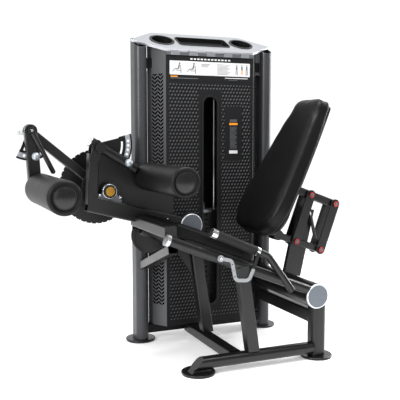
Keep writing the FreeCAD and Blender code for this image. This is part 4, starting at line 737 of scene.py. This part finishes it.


# ---- black strips in the slit between the posts and the corner sheets: painted shade for the gap ---
def gap_shade_strip(name, x0, x1):
    """An upright strip just behind the corner sheet's outer edge."""
    corners = [at(x, y, z) for x in (x0, x1) for y in (0.8, 2.8) for z in (92, 1372)]
    mesh = bpy.data.meshes.new(name)
    mesh.from_pydata(corners, [], [(0, 1, 3, 2), (4, 6, 7, 5), (0, 4, 5, 1), (2, 3, 7, 6),
                                   (0, 2, 6, 4), (1, 5, 7, 3)])
    return new_object(name, mesh, rubber, "frame", smooth=False)


# these black strips are painted shade where the gap between post and sheet is dark
gap_shade_strip("edge_gap_shade_left", -318.6, -306.8)
gap_shade_strip("edge_gap_shade_right", 306.8, 318.6)

# ---- small metal details ----------------------------------------------------------------
BEARING = (-549, 785)
lathe("bearing_gold_face", *BEARING, [(-164.8, 0), (-164.8, 19), (-164.2, 22), (-163.1, 23),
                                      (-163.1, 0)], gold, "frame", "bearing_gold", 10)
lathe("bearing_bright_ring", *BEARING, [(-152.1, 30), (-153.6, 31), (-153.6, 34), (-152.1, 35),
                                        (-152.1, 30)], silver, "frame", "bearing_silver")


def bolt(name, x, z, y, radius, body, slot, material):
    """Domed bolt head seen from the open side, with a hexagon recess."""
    profile = [(y, radius), (y - radius * 0.35, radius * 0.96), (y - radius * 0.6, radius * 0.72),
               (y - radius * 0.66, radius * 0.42), (y - radius * 0.3, radius * 0.38),
               (y - radius * 0.3, 0)]
    return lathe(name, x, z, [(y, 0)] + profile, material, body, slot, 24)


for i, (x, z) in enumerate(((-599, 752), (-499, 738))):
    bolt("bearing_bolt_%d" % i, x, z + 17, -152.2, 7, "frame", "bearing_silver", steel)
bolt("beam_bolt", -262, 638, -165.1, 6, "frame", "trim_silver", silver)
bolt("lever_pivot_bolt", -190, 515.5, -636.1, 7, "frame", "trim_silver", silver)

PINS = {"lower_front": (346, 523, "frame"), "lower_rear": (490, 471, "frame"),
        "upper_front": (430, 753, "back_rest"), "upper_rear": (574, 701, "back_rest")}
face = -383.1               # outer side of the links
for key, (x, z, body) in PINS.items():
    lathe("pin_ring_" + key, x, z, [(face, 10), (face - 1.2, 10.4), (face - 1.2, 14.2),
                                    (face, 14.6), (face, 10)], red, body, "frame_paint", 32)
    lathe("pin_centre_" + key, x, z, [(face, 0), (face, 9.6), (face - 1.6, 9), (face - 2.2, 5),
                                      (face - 2.2, 0)], grey_ink, body, "pin_steel", 32)

# ---- floor, light and camera ------------------------------------------------------------
floor_mesh = bpy.data.meshes.new("floor")
reach = 14
floor_mesh.from_pydata([(-reach, -reach, 0), (reach, -reach, 0), (reach, reach, 0),
                        (-reach, reach, 0)], [], [(0, 1, 2, 3)])
floor = bpy.data.objects.new("floor", floor_mesh)
floor.location.z = -0.0005
bpy.context.scene.collection.objects.link(floor)
floor_paint = Nodes("floor_pale")
floor_paint.set("Base Color", floor_paint.mix(floor_paint.noise(2), (0.9, 0.9, 0.9),
                                              (0.94, 0.94, 0.94)))
floor_paint.set("Roughness", 0.7)
floor_paint.set("Emission Color", (1, 1, 1, 1))
floor_paint.set("Emission Strength", 0.3)
floor_mesh.materials.append(floor_paint.material)

world = bpy.data.worlds.new("studio")
bpy.context.scene.world = world
world.use_nodes = True
background = world.node_tree.nodes["Background"]
background.inputs["Color"].default_value = (1, 1, 1, 1)
# a studio that is white behind the machine and dimmer on the open side, so that blacks stay deep
sky = world.node_tree.nodes.new("ShaderNodeTexCoord").outputs["Generated"]
split_sky = world.node_tree.nodes.new("ShaderNodeSeparateXYZ")
ramp = world.node_tree.nodes.new("ShaderNodeMapRange")
ramp.interpolation_type = "SMOOTHSTEP"
for socket, value in (("From Min", -0.5), ("From Max", 0.45), ("To Min", 0.4), ("To Max", 1.06)):
    ramp.inputs[socket].default_value = value
world.node_tree.links.new(sky, split_sky.inputs[0])
world.node_tree.links.new(split_sky.outputs["Y"], ramp.inputs["Value"])
world.node_tree.links.new(ramp.outputs["Result"], background.inputs["Strength"])


def softbox(name, place, target, wide, high, power):
    light = bpy.data.lights.new(name, "AREA")
    light.shape = "RECTANGLE"
    light.size = wide
    light.size_y = high
    light.energy = power
    obj = bpy.data.objects.new(name, light)
    obj.location = place
    obj.rotation_euler = (Vector(target) - Vector(place)).to_track_quat("-Z", "Y").to_euler()
    bpy.context.scene.collection.objects.link(obj)


softbox("key_left", (-3.6, -2.2, 2.6), (0, 0, 0.8), 0.9, 2.6, 150)
softbox("top_fill", (0.4, -0.8, 3.8), (0, 0, 0.6), 2.2, 1.6, 120)
softbox("right_rim", (3.4, 0.4, 1.8), (0, 0, 0.8), 0.6, 2.4, 80)

camera_data = bpy.data.cameras.new("camera")
camera_data.sensor_width = 36
camera_data.lens = 61.7
camera = bpy.data.objects.new("camera", camera_data)
turn = Matrix.Rotation(radians(-23.36), 4, "Z") @ Matrix.Rotation(radians(84.57), 4, "X")
camera.matrix_world = Matrix.Translation(at(-1443.5, -3303, 1053.4)) @ turn
bpy.context.scene.collection.objects.link(camera)
bpy.context.scene.camera = camera
bpy.context.scene.view_settings.view_transform = "Standard"
